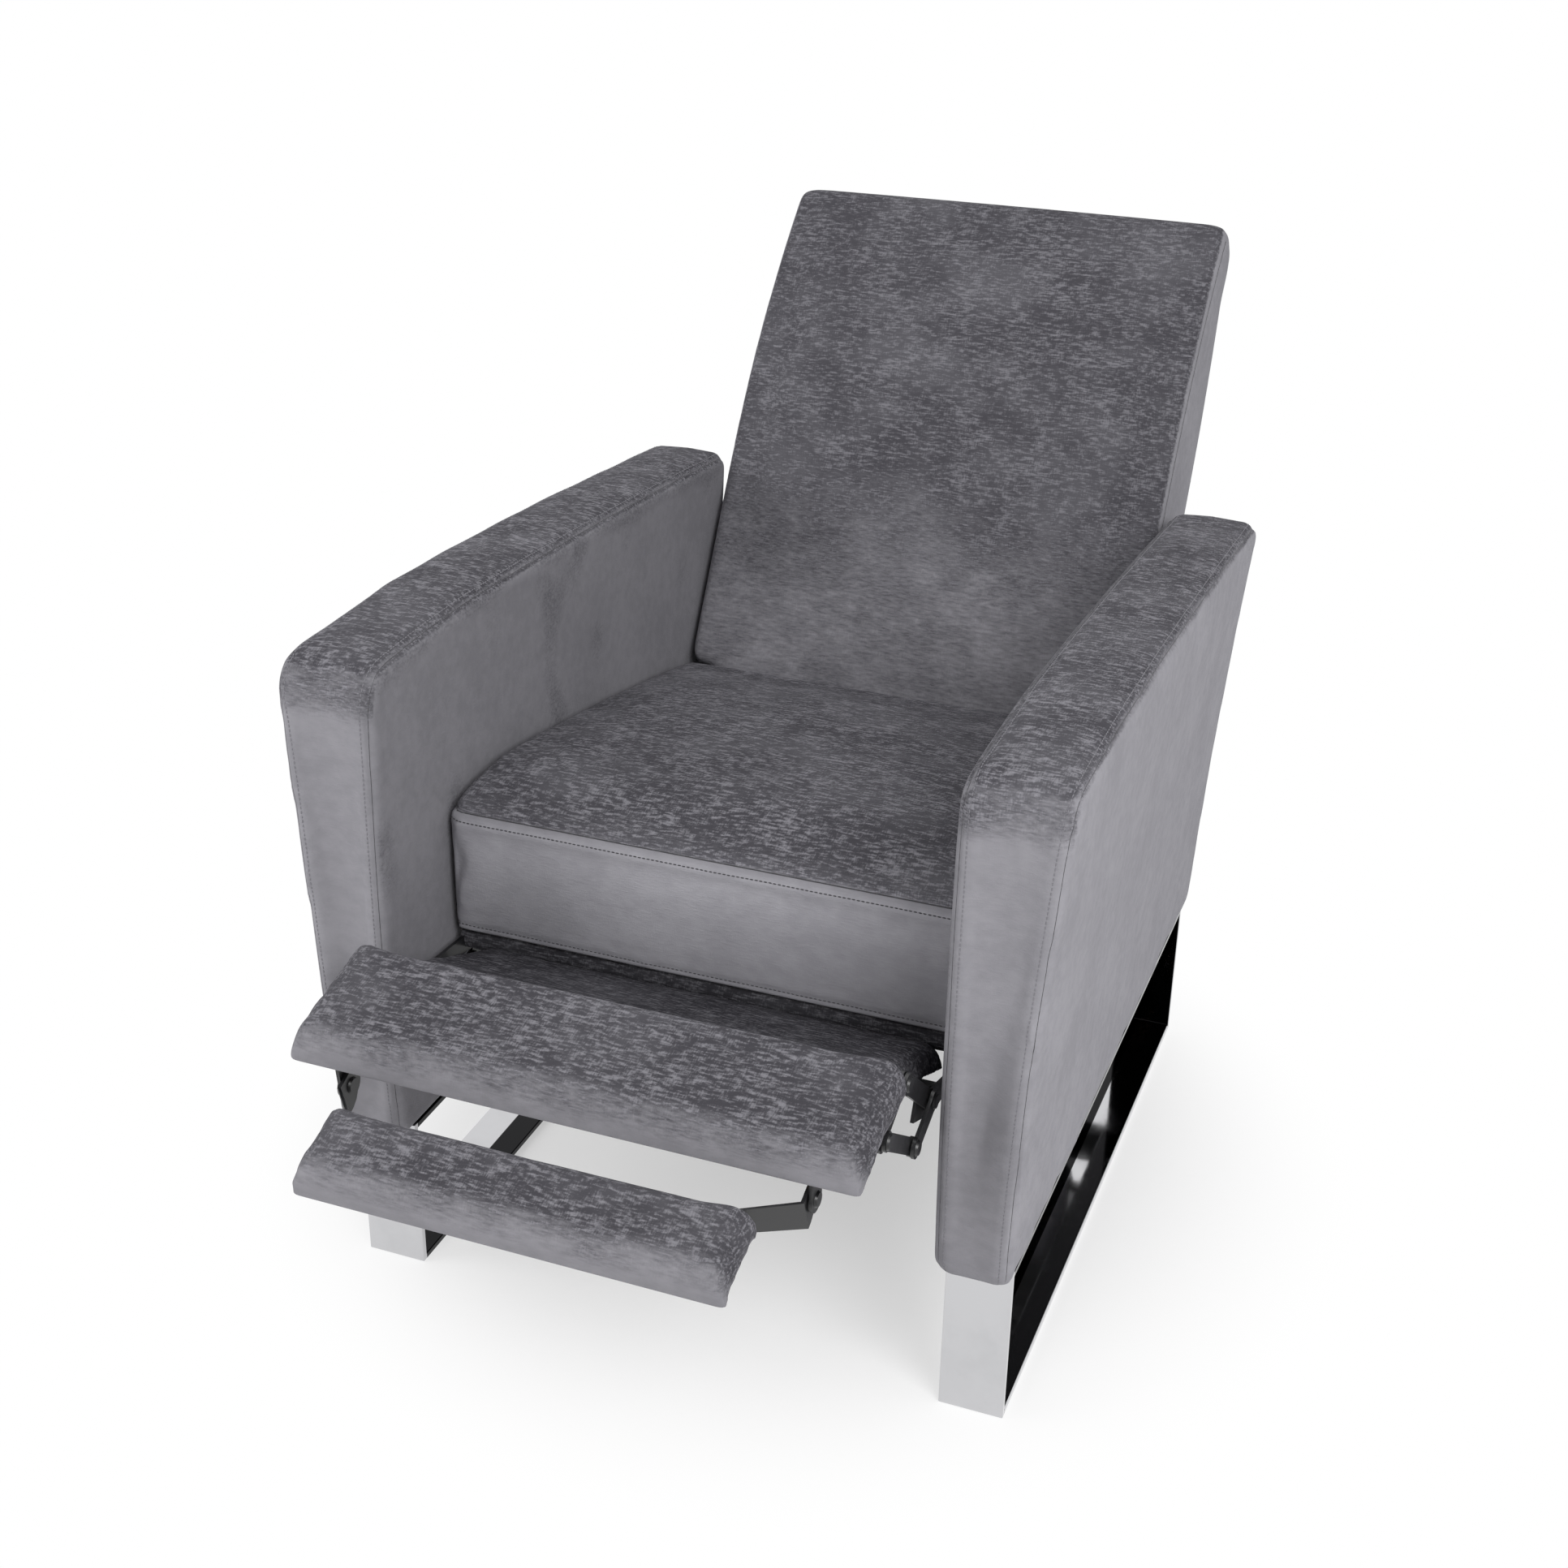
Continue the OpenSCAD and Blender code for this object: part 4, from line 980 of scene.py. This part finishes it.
@dataclass
class Arms:
    """The two upholstered arms, each with a band sewn over its top and down its front and rear."""

    cloths: Cloths
    inner: float = 253 * MM
    foot_outer: float = 322 * MM
    flare: float = 27 * MM
    foot: float = 157 * MM
    top: float = 630 * MM
    front: float = -375 * MM
    rear: float = 360 * MM
    lean: float = 47 * MM
    peak: float = -244 * MM
    front_drop: float = 8 * MM
    rear_drop: float = 39 * MM
    bulge: float = 9 * MM
    front_round: float = 32 * MM
    edge: float = 2.6 * MM
    inset: float = 8 * MM
    rim: float = 11 * MM

    def top_at(self, y: float) -> float:
        """Height of the arm's top at a place along it."""
        if y < self.peak:
            return self.top - self.front_drop * ((self.peak - y) / (self.peak - self.front)) ** 1.5
        return self.top - self.rear_drop * ((y - self.peak) / (self.rear + self.lean - self.peak)) ** 1.5

    def outer_at(self, z: float) -> float:
        """Reach of the arm's outer side at a height."""
        return self.foot_outer + self.flare * max(0.0, (z - self.foot) / (self.top - self.foot)) ** 1.5

    def front_at(self, z: float) -> float:
        """Place of the arm's front at a height."""
        return self.front - self.bulge * math.sin(math.pi * (z - self.foot) / (self.top - self.foot))

    def rear_at(self, z: float) -> float:
        """Place of the arm's rear edge at a height."""
        return self.rear + self.lean * (z - self.foot) / (self.top - self.foot)

    def band_edge(self, side: Side, outer: bool) -> list[Point]:
        """The seam along one edge of the band, from the front's foot over the top to the rear's foot.

        Args:
            side: The arm's side.
            outer: Whether it is the outer edge.

        Returns:
            The seam's points.
        """
        line: list[tuple[float, float]] = []
        high = self.top_at(self.front + self.front_round) - self.front_round
        for k in range(24):
            z = self.foot + 5 * MM + (high - self.foot - 5 * MM) * k / 23
            line.append((self.front_at(z) + self.edge, z))
        for k in range(1, 8):
            turn = math.radians(90 * k / 8)
            y = self.front + self.front_round - (self.front_round - self.edge) * math.cos(turn)
            line.append((y, high + (self.front_round - self.edge) * math.sin(turn)))
        back = self.rear_at(self.top) - 12 * MM
        for k in range(30):
            y = self.front + self.front_round + (back - self.front - self.front_round) * k / 29
            line.append((y, self.top_at(y) - self.edge))
        low = self.top_at(back) - 12 * MM
        for k in range(16):
            z = low + (self.foot + 5 * MM - low) * k / 15
            line.append((self.rear_at(z) - self.edge, z))
        reach = [(self.outer_at(z) - self.edge if outer else self.inner + self.edge) for _, z in line]
        return [(side.value * x, y, z) for x, (y, z) in zip(reach, line)]

    def room(self, side: Side) -> Field:
        """How much each part of an arm may swell: its inner side is held by the seat and the back."""

        def share(points: Array, ways: Array) -> Array:
            outward = ways[:, 0] * side.value
            below = step(-ways[:, 2], 0.2, 0.7)
            return np.clip((0.75 + 0.25 * outward) * step(outward, -1.1, -0.3) * (1 - below), 0, 1)

        return share

    def folds(self, side: Side) -> Field:
        """Gathers at the front's top corner, faint waves along the top and puckers along the foot."""

        def push(points: Array, ways: Array) -> Array:
            corner = np.exp(-(((points[:, 1] - self.front - 12 * MM) / 0.03) ** 2
                              + ((points[:, 2] - self.top + 22 * MM) / 0.035) ** 2))
            gathers = corner * bumps(points, (150, 26, 26), 3.1) * 1.1 * MM
            waves = step(ways[:, 2], 0.5, 0.9) * bumps(points, (10, 13, 0), 7.7) * 0.9 * MM
            outward = np.clip(ways[:, 0] * side.value, 0, 1)
            pull = outward * bumps(points, (0, 9, 6), 1.9) * 0.9 * MM
            hem = np.exp(-((points[:, 2] - self.foot) / 0.028) ** 2) * outward
            return gathers + waves + pull + hem * bumps(points, (0, 30, 12), 5.9) * 2.2 * MM

        return push

    def lay(self, side: Side) -> Field:
        """The pile lies flat on the top, less down the front, and in a feathered rim below the seams; where it
        stands, the pale colour is painted sheen.
        """

        def flat(points: Array, ways: Array) -> Array:
            ahead = step(-ways[:, 1], 0.3, 0.7) * step(points[:, 2], self.top - 68 * MM, self.top - 28 * MM)
            top = np.maximum(step(ways[:, 2], 0.45, 0.9), ahead * 0.66)
            tops = np.array([self.top_at(y) for y in points[:, 1]])
            inward = step(-ways[:, 0] * side.value, 0.3, 0.8)
            depth = self.rim * (1 + 3 * inward * (0.5 + bumps(points, (0, 9, 0), 4.2)))
            rim = step(np.abs(ways[:, 0]), 0.3, 0.8) * step(points[:, 2] - tops, -depth, -2 * MM)
            smudge = inward * step(bumps(points, (0, 15, 11), 8.1), -0.1, 0.7) * 0.5
            return np.maximum(np.maximum(top, rim * (0.75 - 0.2 * inward)), smudge)

        return flat

    def tone(self, side: Side) -> Field:
        """The inner side is painted darker and the outer side lighter, as painted shade and light; the front's
        lower part is darker, and the base has a black lining.
        """

        def shade(points: Array, ways: Array) -> Array:
            inward = np.clip(-ways[:, 0] * side.value, 0, 1)
            under = step(-ways[:, 2], 0.6, 0.9) * step(-points[:, 2], -self.foot - 12 * MM, -self.foot - 6 * MM)
            outward = np.clip(ways[:, 0] * side.value, 0, 1)
            low = np.exp(-((points[:, 2] - self.foot - 0.11) / 0.075) ** 2) * step(-ways[:, 1], 0.5, 0.9)
            patchy = 1 + 0.35 * bumps(points, (14, 0, 8), 6.6)
            return (1 - 0.16 * inward + 0.14 * outward) * (1 - 0.95 * under) * (1 - 0.2 * low * patchy)

        return shade

    def build(self) -> None:
        """Makes both arms."""
        for side in Side:
            outer, inner = (Seam(self.band_edge(side, edge), line=0.4 * MM) for edge in (True, False))
            rows = [Stitch(seam, (way * side.value * self.inset, 0, 0)) for seam, way in ((outer, -1), (inner, 1))]
            Padding(name="Arm" + side.label.title(), body="base",
                    sources=("arm_cover_" + side.label, "arm_frame_" + side.label),
                    stands_for=("arm_cover_" + side.label,), slot="arm_fabric", velvet=self.cloths.velvet,
                    line=self.cloths.line, thread=self.cloths.thread, voxel=6.5 * MM, cap=4 * MM, draw=1.5 * MM,
                    held=45 * MM, fill=0.9, seams=[outer, inner], stitches=rows,
                    ).made(self.room(side), self.folds(side), self.lay(side), self.tone(side))


@dataclass
class Seat:
    """The seat cushion with its front skirt and the roll under the skirt."""

    cloths: Cloths
    front: float = -269 * MM
    seam_height: float = 457 * MM
    skirt_foot: float = 326 * MM
    half: float = 250 * MM
    roll_reach: float = 244 * MM
    roll: tuple[float, float] = (8 * MM, 10 * MM)

    def across(self, y: float, z: float, end: float) -> list[Point]:
        """A line across the seat, with ends that turn back round its corners.

        Args:
            y: Its place.
            z: Its height.
            end: How far its ends turn back.

        Returns:
            The line's points.
        """
        half = self.half - 3 * MM
        line = [(-half, y + end, z), (-half + 3 * MM, y + end * 0.4, z)]
        line += [(-half + 10 * MM + (2 * half - 20 * MM) * k / 24, y, z) for k in range(25)]
        return line + [(half - 3 * MM, y + end * 0.4, z), (half, y + end, z)]

    def room(self, points: Array, ways: Array) -> Array:
        """The top swells freely; the sides, the rear and the base are held by their neighbours."""
        up = step(ways[:, 2], 0.1, 0.6)
        ahead = step(-ways[:, 1], 0.4, 0.9) * 0.45
        rear = 1 - step(points[:, 1], 0.16, 0.25)
        return np.clip(up * rear + ahead, 0, 1)

    def lay(self, points: Array, ways: Array) -> Array:
        """The pile lies flat on the top, down to the front seam, and less so along the front edge; where it lies
        less flat, the paler colour is painted sheen.
        """
        behind = step(points[:, 1], self.front, self.front + 70 * MM)
        near = 1 - step(points[:, 1], self.front + 8 * MM, self.front + 16 * MM)
        edge = step(points[:, 2], self.seam_height - 7.5 * MM, self.seam_height - 5 * MM)
        return (near * edge + (1 - near) * step(ways[:, 2], 0.3, 0.6)) * (0.82 + 0.18 * behind)

    def tone(self, points: Array, ways: Array) -> Array:
        """The skirt's upright front is painted lighter: painted light."""
        return 1 + 0.38 * step(-ways[:, 1], 0.86, 0.985)

    def folds(self, points: Array, ways: Array) -> Array:
        """Soft waves over the top and faint pulls down the front."""
        up = step(ways[:, 2], 0.4, 0.9)
        ahead = step(-ways[:, 1], 0.5, 0.9)
        return (up * bumps(points, (7, 9, 0), 5.3) * 1.8 * MM
                + ahead * (bumps(points, (22, 0, 7), 2.2) * 0.7 + bumps(points, (6, 0, 3), 8.8) * 0.8) * MM)

    def build(self) -> None:
        """Makes the cushion, its seams and the roll."""
        seam = Seam(self.across(self.front + 1.5 * MM, self.seam_height - 6 * MM, 16 * MM), depth=2.4 * MM)
        sides = [Seam([(x * (self.half - 4 * MM), self.front + 20 * MM + 0.5 * k / 20,
                        self.seam_height - 3 * MM + 0.019 * math.sin(math.radians(min(90, k * 24)))
                        - 0.085 * (k / 20) ** 1.35) for k in range(20)]) for x in (-1, 1)]
        foot = Seam(self.across(self.front + 4 * MM, self.skirt_foot + 9 * MM, 6 * MM), depth=0.5 * MM, line=0)
        rows = [Stitch(seam, (0, -3 * MM, -8 * MM), length=3.4 * MM, radius=0.6 * MM),
                Stitch(foot, (0, -3 * MM, 0))]
        Padding(name="SeatCushion", body="base", sources=("seat_cushion",), stands_for=("seat_cushion",),
                slot="seat_fabric", velvet=self.cloths.velvet, line=self.cloths.line,
                thread=self.cloths.line, voxel=6 * MM, cap=9 * MM, draw=4 * MM, held=60 * MM, fill=0.75,
                seams=[seam, *sides, foot], stitches=rows).made(self.room, self.folds, self.lay, self.tone)
        self.shaded_roll()

    def shaded_roll(self) -> None:
        """Makes the roll that closes the skirt's lower edge, painted dark as the shade under the skirt."""
        bpy.ops.object.select_all(action="DESELECT")
        bpy.ops.mesh.primitive_cylinder_add(vertices=20, radius=1, depth=2, rotation=(0, math.pi / 2, 0))
        piece = named("SkirtRoll")
        divided(piece, 4)
        points = places(piece)
        along = points[:, 0] * self.roll_reach
        wave = bumps(np.c_[along, along * 0, along * 0], (30, 0, 0), 4.4)
        thick = 1 + 0.08 * wave
        put(piece, np.c_[along, self.front + 11 * MM + points[:, 1] * thick * self.roll[0],
                         self.skirt_foot + 1 * MM + (points[:, 2] - 1) * thick * self.roll[1]])
        numbers_on(piece, "lay", np.ones(len(points)))
        # Painted shade: the roll is darkened to 0.45 and takes the shaded velvet, which has no sheen.
        numbers_on(piece, "tone", np.ones(len(points)) * 0.45)
        smoothed(piece, 60)
        painted(piece, self.cloths.shaded)
        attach(piece, "base")
        log.info("%s: %d points", piece.name, len(points))


@dataclass
class Back:
    """The reclining back: one padded form with its cover and panel seams."""

    cloths: Cloths
    place: tuple[float, float] = (276 * MM, 395 * MM)
    angle: float = 29.5
    curl: float = 21.0
    length: float = 577 * MM
    straight: float = 208 * MM
    thick: float = 157 * MM
    top_thick: float = 52 * MM
    half: float = 248 * MM
    crown: float = 1 * MM

    def point(self, s: float, t: float) -> tuple[float, float]:
        """Place and height at s along the back's face and t behind it."""
        span = self.length - self.straight
        low, over = min(s, self.straight), max(0.0, s - self.straight)
        lean = math.radians(self.angle)
        turn = lean + math.radians(self.curl) * over / span
        radius = span / math.radians(self.curl)
        y = self.place[0] + low * math.sin(lean)
        z = self.place[1] + low * math.cos(lean)
        if over > 0:
            y += radius * (math.cos(lean) - math.cos(turn))
            z += radius * (math.sin(turn) - math.sin(lean))
        return y + t * math.cos(turn), z - t * math.sin(turn)

    def side_seam(self, side: Side) -> list[Point]:
        """The seam behind the front edge, on one side."""
        line = []
        for k in range(40):
            s = -4 * MM + (self.length - 18 * MM) * k / 39
            y, z = self.point(s, 13 * MM)
            line.append((side.value * self.half, y, z))
        return line

    def top_seam(self) -> list[Point]:
        """The seam along the top's rear edge."""
        y, z = self.point(self.length - 6 * MM, self.top_thick - 4 * MM)
        return [((self.half - 8 * MM) * (k / 12 - 1), y, z) for k in range(25)]

    def room(self, points: Array, ways: Array) -> Array:
        """The front and the upper rear swell, but not the top or what lies between the arms."""
        free = step(points[:, 2], 0.42, 0.56) * (1 - step(points[:, 2], 0.76, 0.82))
        sides = 1 - 0.8 * step(np.abs(ways[:, 0]), 0.5, 0.9)
        return np.clip(free * sides, 0, 1)

    def folds(self, points: Array, ways: Array) -> Array:
        """Soft waves over the face."""
        ahead = step(-ways[:, 1], 0.3, 0.8)
        waves = ahead * (bumps(points, (6, 5, 7), 6.1) * 1.6 + bumps(points, (17, 12, 16), 9.4) * 0.4) * MM
        crown = 1 - np.abs(points[:, 0] / self.half + 0.15) ** 2
        top = step(points[:, 2], 0.79, 0.835) * step(ways[:, 2], -0.1, 0.5)
        return waves + np.clip(crown, 0, 1) * top * self.crown

    def build(self) -> None:
        """Makes the back."""
        seams = [Seam(self.side_seam(side)) for side in Side] + [Seam(self.top_seam())]

        def lay(points: Array, ways: Array) -> Array:
            # Where the pile lies less flat, lower on the face and on the sides, its paler colour is painted sheen.
            high = step(points[:, 2] + 0.06 * bumps(points, (5, 0, 4), 3.7), 0.45, 0.66)
            ahead = step(-ways[:, 1], 0.05, 0.4) * (0.46 + 0.54 * high)
            return np.maximum(ahead, step(ways[:, 2], 0.55, 0.8)) * (1 - step(np.abs(ways[:, 0]), 0.6, 0.9))

        Padding(name="BackCushion", body="back", sources=("back_cushion", "back_panel"),
                stands_for=("back_cushion", "back_panel"), slot="back_fabric", velvet=self.cloths.calm,
                line=self.cloths.line, thread=self.cloths.thread, voxel=6.5 * MM, cap=10 * MM, draw=4 * MM,
                held=60 * MM, fill=0.7, seams=seams, stitches=[]).made(self.room, self.folds, lay)


@dataclass(frozen=True)
class Board:
    """One padded board: its node and body, its pitch, how far its edges are rolled, and its looks."""

    name: str
    node: str
    body: str
    pitch: float
    slot: str
    front_roll: float = 21 * MM
    rear_roll: float = 7 * MM
    end_roll: float = 15 * MM
    longer: float = 0.0
    cap: float = 3 * MM
    creases: float = 1.0 * MM
    tone: float = 0.94
    # band and band_lay: a pale strip behind the front edge where the pile stands, painted sheen; a band_lay of 1
    # leaves none.
    band: float = 50 * MM
    band_lay: float = 0.15


@dataclass
class Boards:
    """The padded boards of the footrest: the main board, the flipper and the middle board."""

    cloths: Cloths
    boards: tuple[Board, ...] = (
        Board("FootrestPad", "footrest", "footrest", 14.3, "footrest_fabric"),
        Board("FlipperPad", "flipper", "flipper", 19.6, "footrest_fabric", front_roll=17 * MM, band=40 * MM),
        # The middle board sits in the shade under the seat: its tone of 0.6 and its shaded velvet are painted
        # shade.
        Board("MiddlePad", "middle", "upper_link", -24.0, "lining_fabric", front_roll=9 * MM, rear_roll=5 * MM,
              longer=6 * MM, cap=2 * MM, creases=1.6 * MM, tone=0.6, band=12 * MM, band_lay=1.0))

    def stuffing(self, board: Board) -> bpy.types.Object:
        """Models a board's stuffing: a block with rolled edges and ends drawn in, laid at the board's pitch.

        Args:
            board: The board.

        Returns:
            The stuffing.
        """
        turn = np.array(Matrix.Rotation(math.radians(board.pitch), 3, "X"))
        solid = np.vstack([places(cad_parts[board.node + part]) for part in ("_cushion", "_board")]) @ turn
        low, high = solid.min(axis=0), solid.max(axis=0)
        high[1] += board.longer
        piece = block(board.name, low, high)
        divided(piece, 6)
        points = places(piece)
        size = high - low
        left = 1.0
        for edge, roll in ((points[:, 1] - low[1], board.front_roll), (high[1] - points[:, 1], board.rear_roll),
                           (size[0] / 2 - np.abs(points[:, 0]), board.end_roll)):
            inner = roll - np.clip(edge, 0, roll)
            left = left * (1 - (roll - np.sqrt(np.maximum(0, roll ** 2 - inner ** 2))) / size[2])
        along = (points[:, 1] - low[1]) / size[1]
        points[:, 2] = low[2] + (points[:, 2] - low[2]) * left
        points[:, 0] *= 1 - 0.007 * np.sin(math.pi * along)
        put(piece, points @ turn.T)
        return piece

    def board(self, board: Board) -> None:
        """Makes one padded board.

        Args:
            board: The board.
        """
        low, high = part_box(board.node + "_cushion")
        half = (high.x - low.x) / 2
        # The middle board, in lining_fabric, takes the shaded velvet copy: painted shade.
        velvet = self.cloths.shaded if board.slot == "lining_fabric" else self.cloths.velvet

        def room(points: Array, ways: Array) -> Array:
            return np.clip(step(ways[:, 2], -0.5, 0.5), 0, 1)

        def push(points: Array, ways: Array) -> Array:
            ends = np.exp(-((np.abs(points[:, 0]) - half) / 0.03) ** 2)
            waves = ends * bumps(points, (50, 90, 90), 2.6) + bumps(points, (14, 30, 30), 7.1) * 0.35
            return waves * board.creases * step(ways[:, 2], -0.6, 0)

        def lay(points: Array, ways: Array) -> Array:
            arc = (points[:, 1] - low.y) + np.clip(points[:, 2] - low.z, 0, board.front_roll)
            behind = step(arc, 6 * MM, board.band)
            return step(ways[:, 2], -0.5, 0.1) * (board.band_lay + (1 - board.band_lay) * behind)

        Padding(name=board.name, body=board.body, sources=(), stands_for=(board.node + "_cushion",),
                slot=board.slot, velvet=velvet, line=self.cloths.line, thread=self.cloths.thread,
                voxel=4 * MM, cap=board.cap, draw=1 * MM, held=12 * MM, fill=0.8, tone=board.tone,
                start=self.stuffing(board)).made(room, push, lay)

    def build(self) -> None:
        """Makes the three boards."""
        for board in self.boards:
            self.board(board)


@dataclass
class Metalwork:
    """The chrome legs, and the finishes of the steel parts."""

    chrome: bpy.types.Material
    black: bpy.types.Material
    zinc: bpy.types.Material
    bar: float = 6 * MM
    broken: float = 0.9 * MM

    def leg(self, side: Side) -> None:
        """Makes one leg: a flat bar bent round into a closed loop, with its edges broken.

        Args:
            side: The leg's side.
        """
        node = "leg_loop_" + side.label
        piece = block("Leg" + side.label.title(), *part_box(node))
        face_chosen(piece, lambda face: abs(face.normal.x) > 0.9)
        bpy.ops.mesh.inset(thickness=self.bar, use_individual=True)
        bpy.ops.mesh.bridge_edge_loops()
        bpy.ops.object.mode_set(mode="OBJECT")
        edge = piece.modifiers.new("Edge", "BEVEL")
        edge.width = self.broken
        edge.segments = 3
        edge.limit_method = "ANGLE"
        edge.angle_limit = math.radians(50)
        bake_modifiers(piece)
        painted(piece, self.chrome)
        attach(piece, "base")
        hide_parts(node)
        log.info("%s: %d points", piece.name, len(piece.data.vertices))

    def build(self) -> None:
        """Makes the legs and gives the other metal parts their finishes."""
        for side in Side:
            self.leg(side)
        steel = ("side_plate", "hinge_arm", "base_rivets", "back_bracket", "back_rivets", "rear_link",
                 "drive_tube", "front_link", "upper_link", "lower_link", "footrest_bracket",
                 "footrest_rivets", "flipper_bracket", "drive_rod")
        for name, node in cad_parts.items():
            if name.startswith(steel):
                painted(node, self.black)
            elif name.startswith(("plate_bolts", "leg_screws", "seat_springs")):
                painted(node, self.zinc)


@dataclass
class Woodwork:
    """Finishes of the timber frames and of the webbing."""

    lengthwise: bpy.types.Material
    crosswise: bpy.types.Material
    lined: bpy.types.Material
    webbing: bpy.types.Material

    def build(self) -> None:
        """Gives the timber parts and the webbing their finishes."""
        for name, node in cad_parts.items():
            if name.startswith("arm_frame"):
                painted(node, self.lengthwise)
            elif name == "seat_frame" or name.endswith("_rail"):
                painted(node, self.lined)
            elif name.endswith("_board") or name == "back_frame":
                painted(node, self.crosswise)
            elif name == "back_webbing":
                painted(node, self.webbing)


@dataclass
class Studio:
    """Plain white floor and background, soft lamps and the camera."""

    camera_place: Point = (0.6503, -1.7982, 1.3345)
    yaw: float = 20.723
    pitch: float = 25.972
    roll: float = 0.921
    lens: float = 50.11
    shift: tuple[float, float] = (0.0017, 0.0002)
    daylight: float = 0.55
    glow: float = 0.45
    shadow: tuple[float, float] = (0.30, 0.58)
    lamps: tuple[tuple[str, Point, Point, float, float], ...] = (
        ("Key", (2.3, -2.2, 2.6), (0, -0.1, 0.4), 2.2, 90),
        ("Top", (-0.3, 0.3, 3.2), (0, 0, 0.4), 2.6, 16),
        ("Fill", (-2.6, -1.6, 1.4), (0, 0, 0.4), 2.0, 42))

    @staticmethod
    def seen(graph: Graph, *rays: str) -> Value:
        """A value that is 1 for the named kinds of rays and 0 for others."""
        path = graph.add("ShaderNodeLightPath", {}, {})
        return sum(Value(graph, path.outputs[f"Is {ray} Ray"]) for ray in rays).above(0, 0.5)

    def floor(self) -> None:
        """Lays the floor, which shows white to the camera and keeps a soft shadow."""
        bpy.ops.object.select_all(action="DESELECT")
        bpy.ops.mesh.primitive_grid_add(x_subdivisions=8, y_subdivisions=8, size=16)
        piece = named("Floor")
        put(piece, places(piece) + np.array([0, 0, -0.4 * MM]))
        graph = Graph(bpy.data.materials.new("FloorPaper"))
        tooth = graph.grain((60, 60, 60), 2, 0.5)
        pale = graph.mix(tooth, (0.88, 0.88, 0.88), (0.90, 0.90, 0.90))
        paper = graph.add("ShaderNodeBsdfPrincipled", {}, {"Base Color": pale, "Roughness": 0.8,
                                                           "Specular IOR Level": 0.1})
        glow = graph.add("ShaderNodeEmission", {}, {"Color": (1.0, 1.0, 1.0), "Strength": 1.0})
        far = graph.value("ShaderNodeVectorMath", {"operation": "LENGTH"}, {0: graph.place}, "Value")
        share = self.seen(graph, "Camera", "Glossy") * (self.glow + far.above(*self.shadow) * (1 - self.glow))
        blend = graph.add("ShaderNodeMixShader", {}, {0: share, 1: paper.outputs[0], 2: glow.outputs[0]})
        graph.add("ShaderNodeOutputMaterial", {}, {"Surface": blend.outputs[0]})
        painted(piece, graph.owner)

    def world(self) -> None:
        """Makes the background white to the camera and a plain grey light to the object."""
        graph = Graph(bpy.data.worlds.new("Studio"))
        grey, white = (graph.add("ShaderNodeBackground", {}, {"Color": (1.0, 1.0, 1.0), "Strength": strength})
                       for strength in (self.daylight, 1.0))
        blend = graph.add("ShaderNodeMixShader", {}, {0: self.seen(graph, "Camera", "Glossy", "Transmission"),
                                                      1: grey.outputs[0], 2: white.outputs[0]})
        graph.add("ShaderNodeOutputWorld", {}, {"Surface": blend.outputs[0]})
        bpy.context.scene.world = graph.owner

    def lamp(self, name: str, place: Point, target: Point, size: float, power: float) -> None:
        """Hangs one soft lamp.

        Args:
            name: The lamp's name.
            place: Where it hangs.
            target: What it points at.
            size: Its width.
            power: Its power in watts.
        """
        data = bpy.data.lights.new(name, "AREA")
        data.shape = "DISK"
        data.size = size
        data.energy = power
        lamp = bpy.data.objects.new(name, data)
        bpy.context.scene.collection.objects.link(lamp)
        aim = Vector(target) - Vector(place)
        lamp.matrix_world = Matrix.Translation(place) @ aim.to_track_quat("-Z", "Y").to_matrix().to_4x4()

    def camera(self) -> None:
        """Sets the camera where the photograph was taken from."""
        yaw, pitch, roll = (math.radians(a) for a in (self.yaw, self.pitch, self.roll))
        ahead = Vector((-math.sin(yaw) * math.cos(pitch), math.cos(yaw) * math.cos(pitch), -math.sin(pitch)))
        right = Vector((math.cos(yaw), math.sin(yaw), 0))
        up = right.cross(ahead)
        across = right * math.cos(roll) + up * math.sin(roll)
        upright = up * math.cos(roll) - right * math.sin(roll)
        data = bpy.data.cameras.new("PhotoCamera")
        data.lens = self.lens
        data.sensor_width = 36
        data.sensor_fit = "HORIZONTAL"
        data.shift_x, data.shift_y = self.shift
        camera = bpy.data.objects.new("PhotoCamera", data)
        bpy.context.scene.collection.objects.link(camera)
        turn = Matrix((across, upright, -ahead)).transposed().to_4x4()
        camera.matrix_world = Matrix.Translation(self.camera_place) @ turn
        bpy.context.scene.camera = camera

    def build(self) -> None:
        """Sets up the whole studio."""
        bpy.context.scene.view_settings.view_transform = "Standard"
        self.floor()
        self.world()
        for lamp in self.lamps:
            self.lamp(*lamp)
        self.camera()


def main() -> None:
    """Builds the chair's looks piece by piece."""
    logging.basicConfig(level=logging.INFO, format="%(name)s: %(message)s")
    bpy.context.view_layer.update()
    Studio().build()
    cloths = Cloths(velvet=Velvet().material(),
                    calm=Velvet(name="CalmVelvet", flecked=0.68).material(),
                    # ShadedVelvet is the velvet's copy for pieces in shade, without sheen and gloss: painted
                    # shade.
                    shaded=Velvet(name="ShadedVelvet", sheen=0.0, gloss=0.0).material(),
                    # SeamShadow is the colour of the painted shade in the seams.
                    line=Thread("SeamShadow", (0.035, 0.034, 0.038)).material(),
                    thread=Thread("SewingThread", (0.150, 0.147, 0.163)).material())
    Arms(cloths).build()
    Seat(cloths).build()
    Back(cloths).build()
    Boards(cloths).build()
    Metalwork(Chrome().material(), PaintedSteel().material(), Zinc().material()).build()
    Woodwork(Timber("TimberAlongY", (90, 7, 90)).material(), Timber("TimberAlongX", (7, 90, 90)).material(),
             Timber("LinedTimber", (7, 90, 90), cloth_below=330 * MM).material(), Webbing().material()).build()


if __name__ == "__main__":
    main()
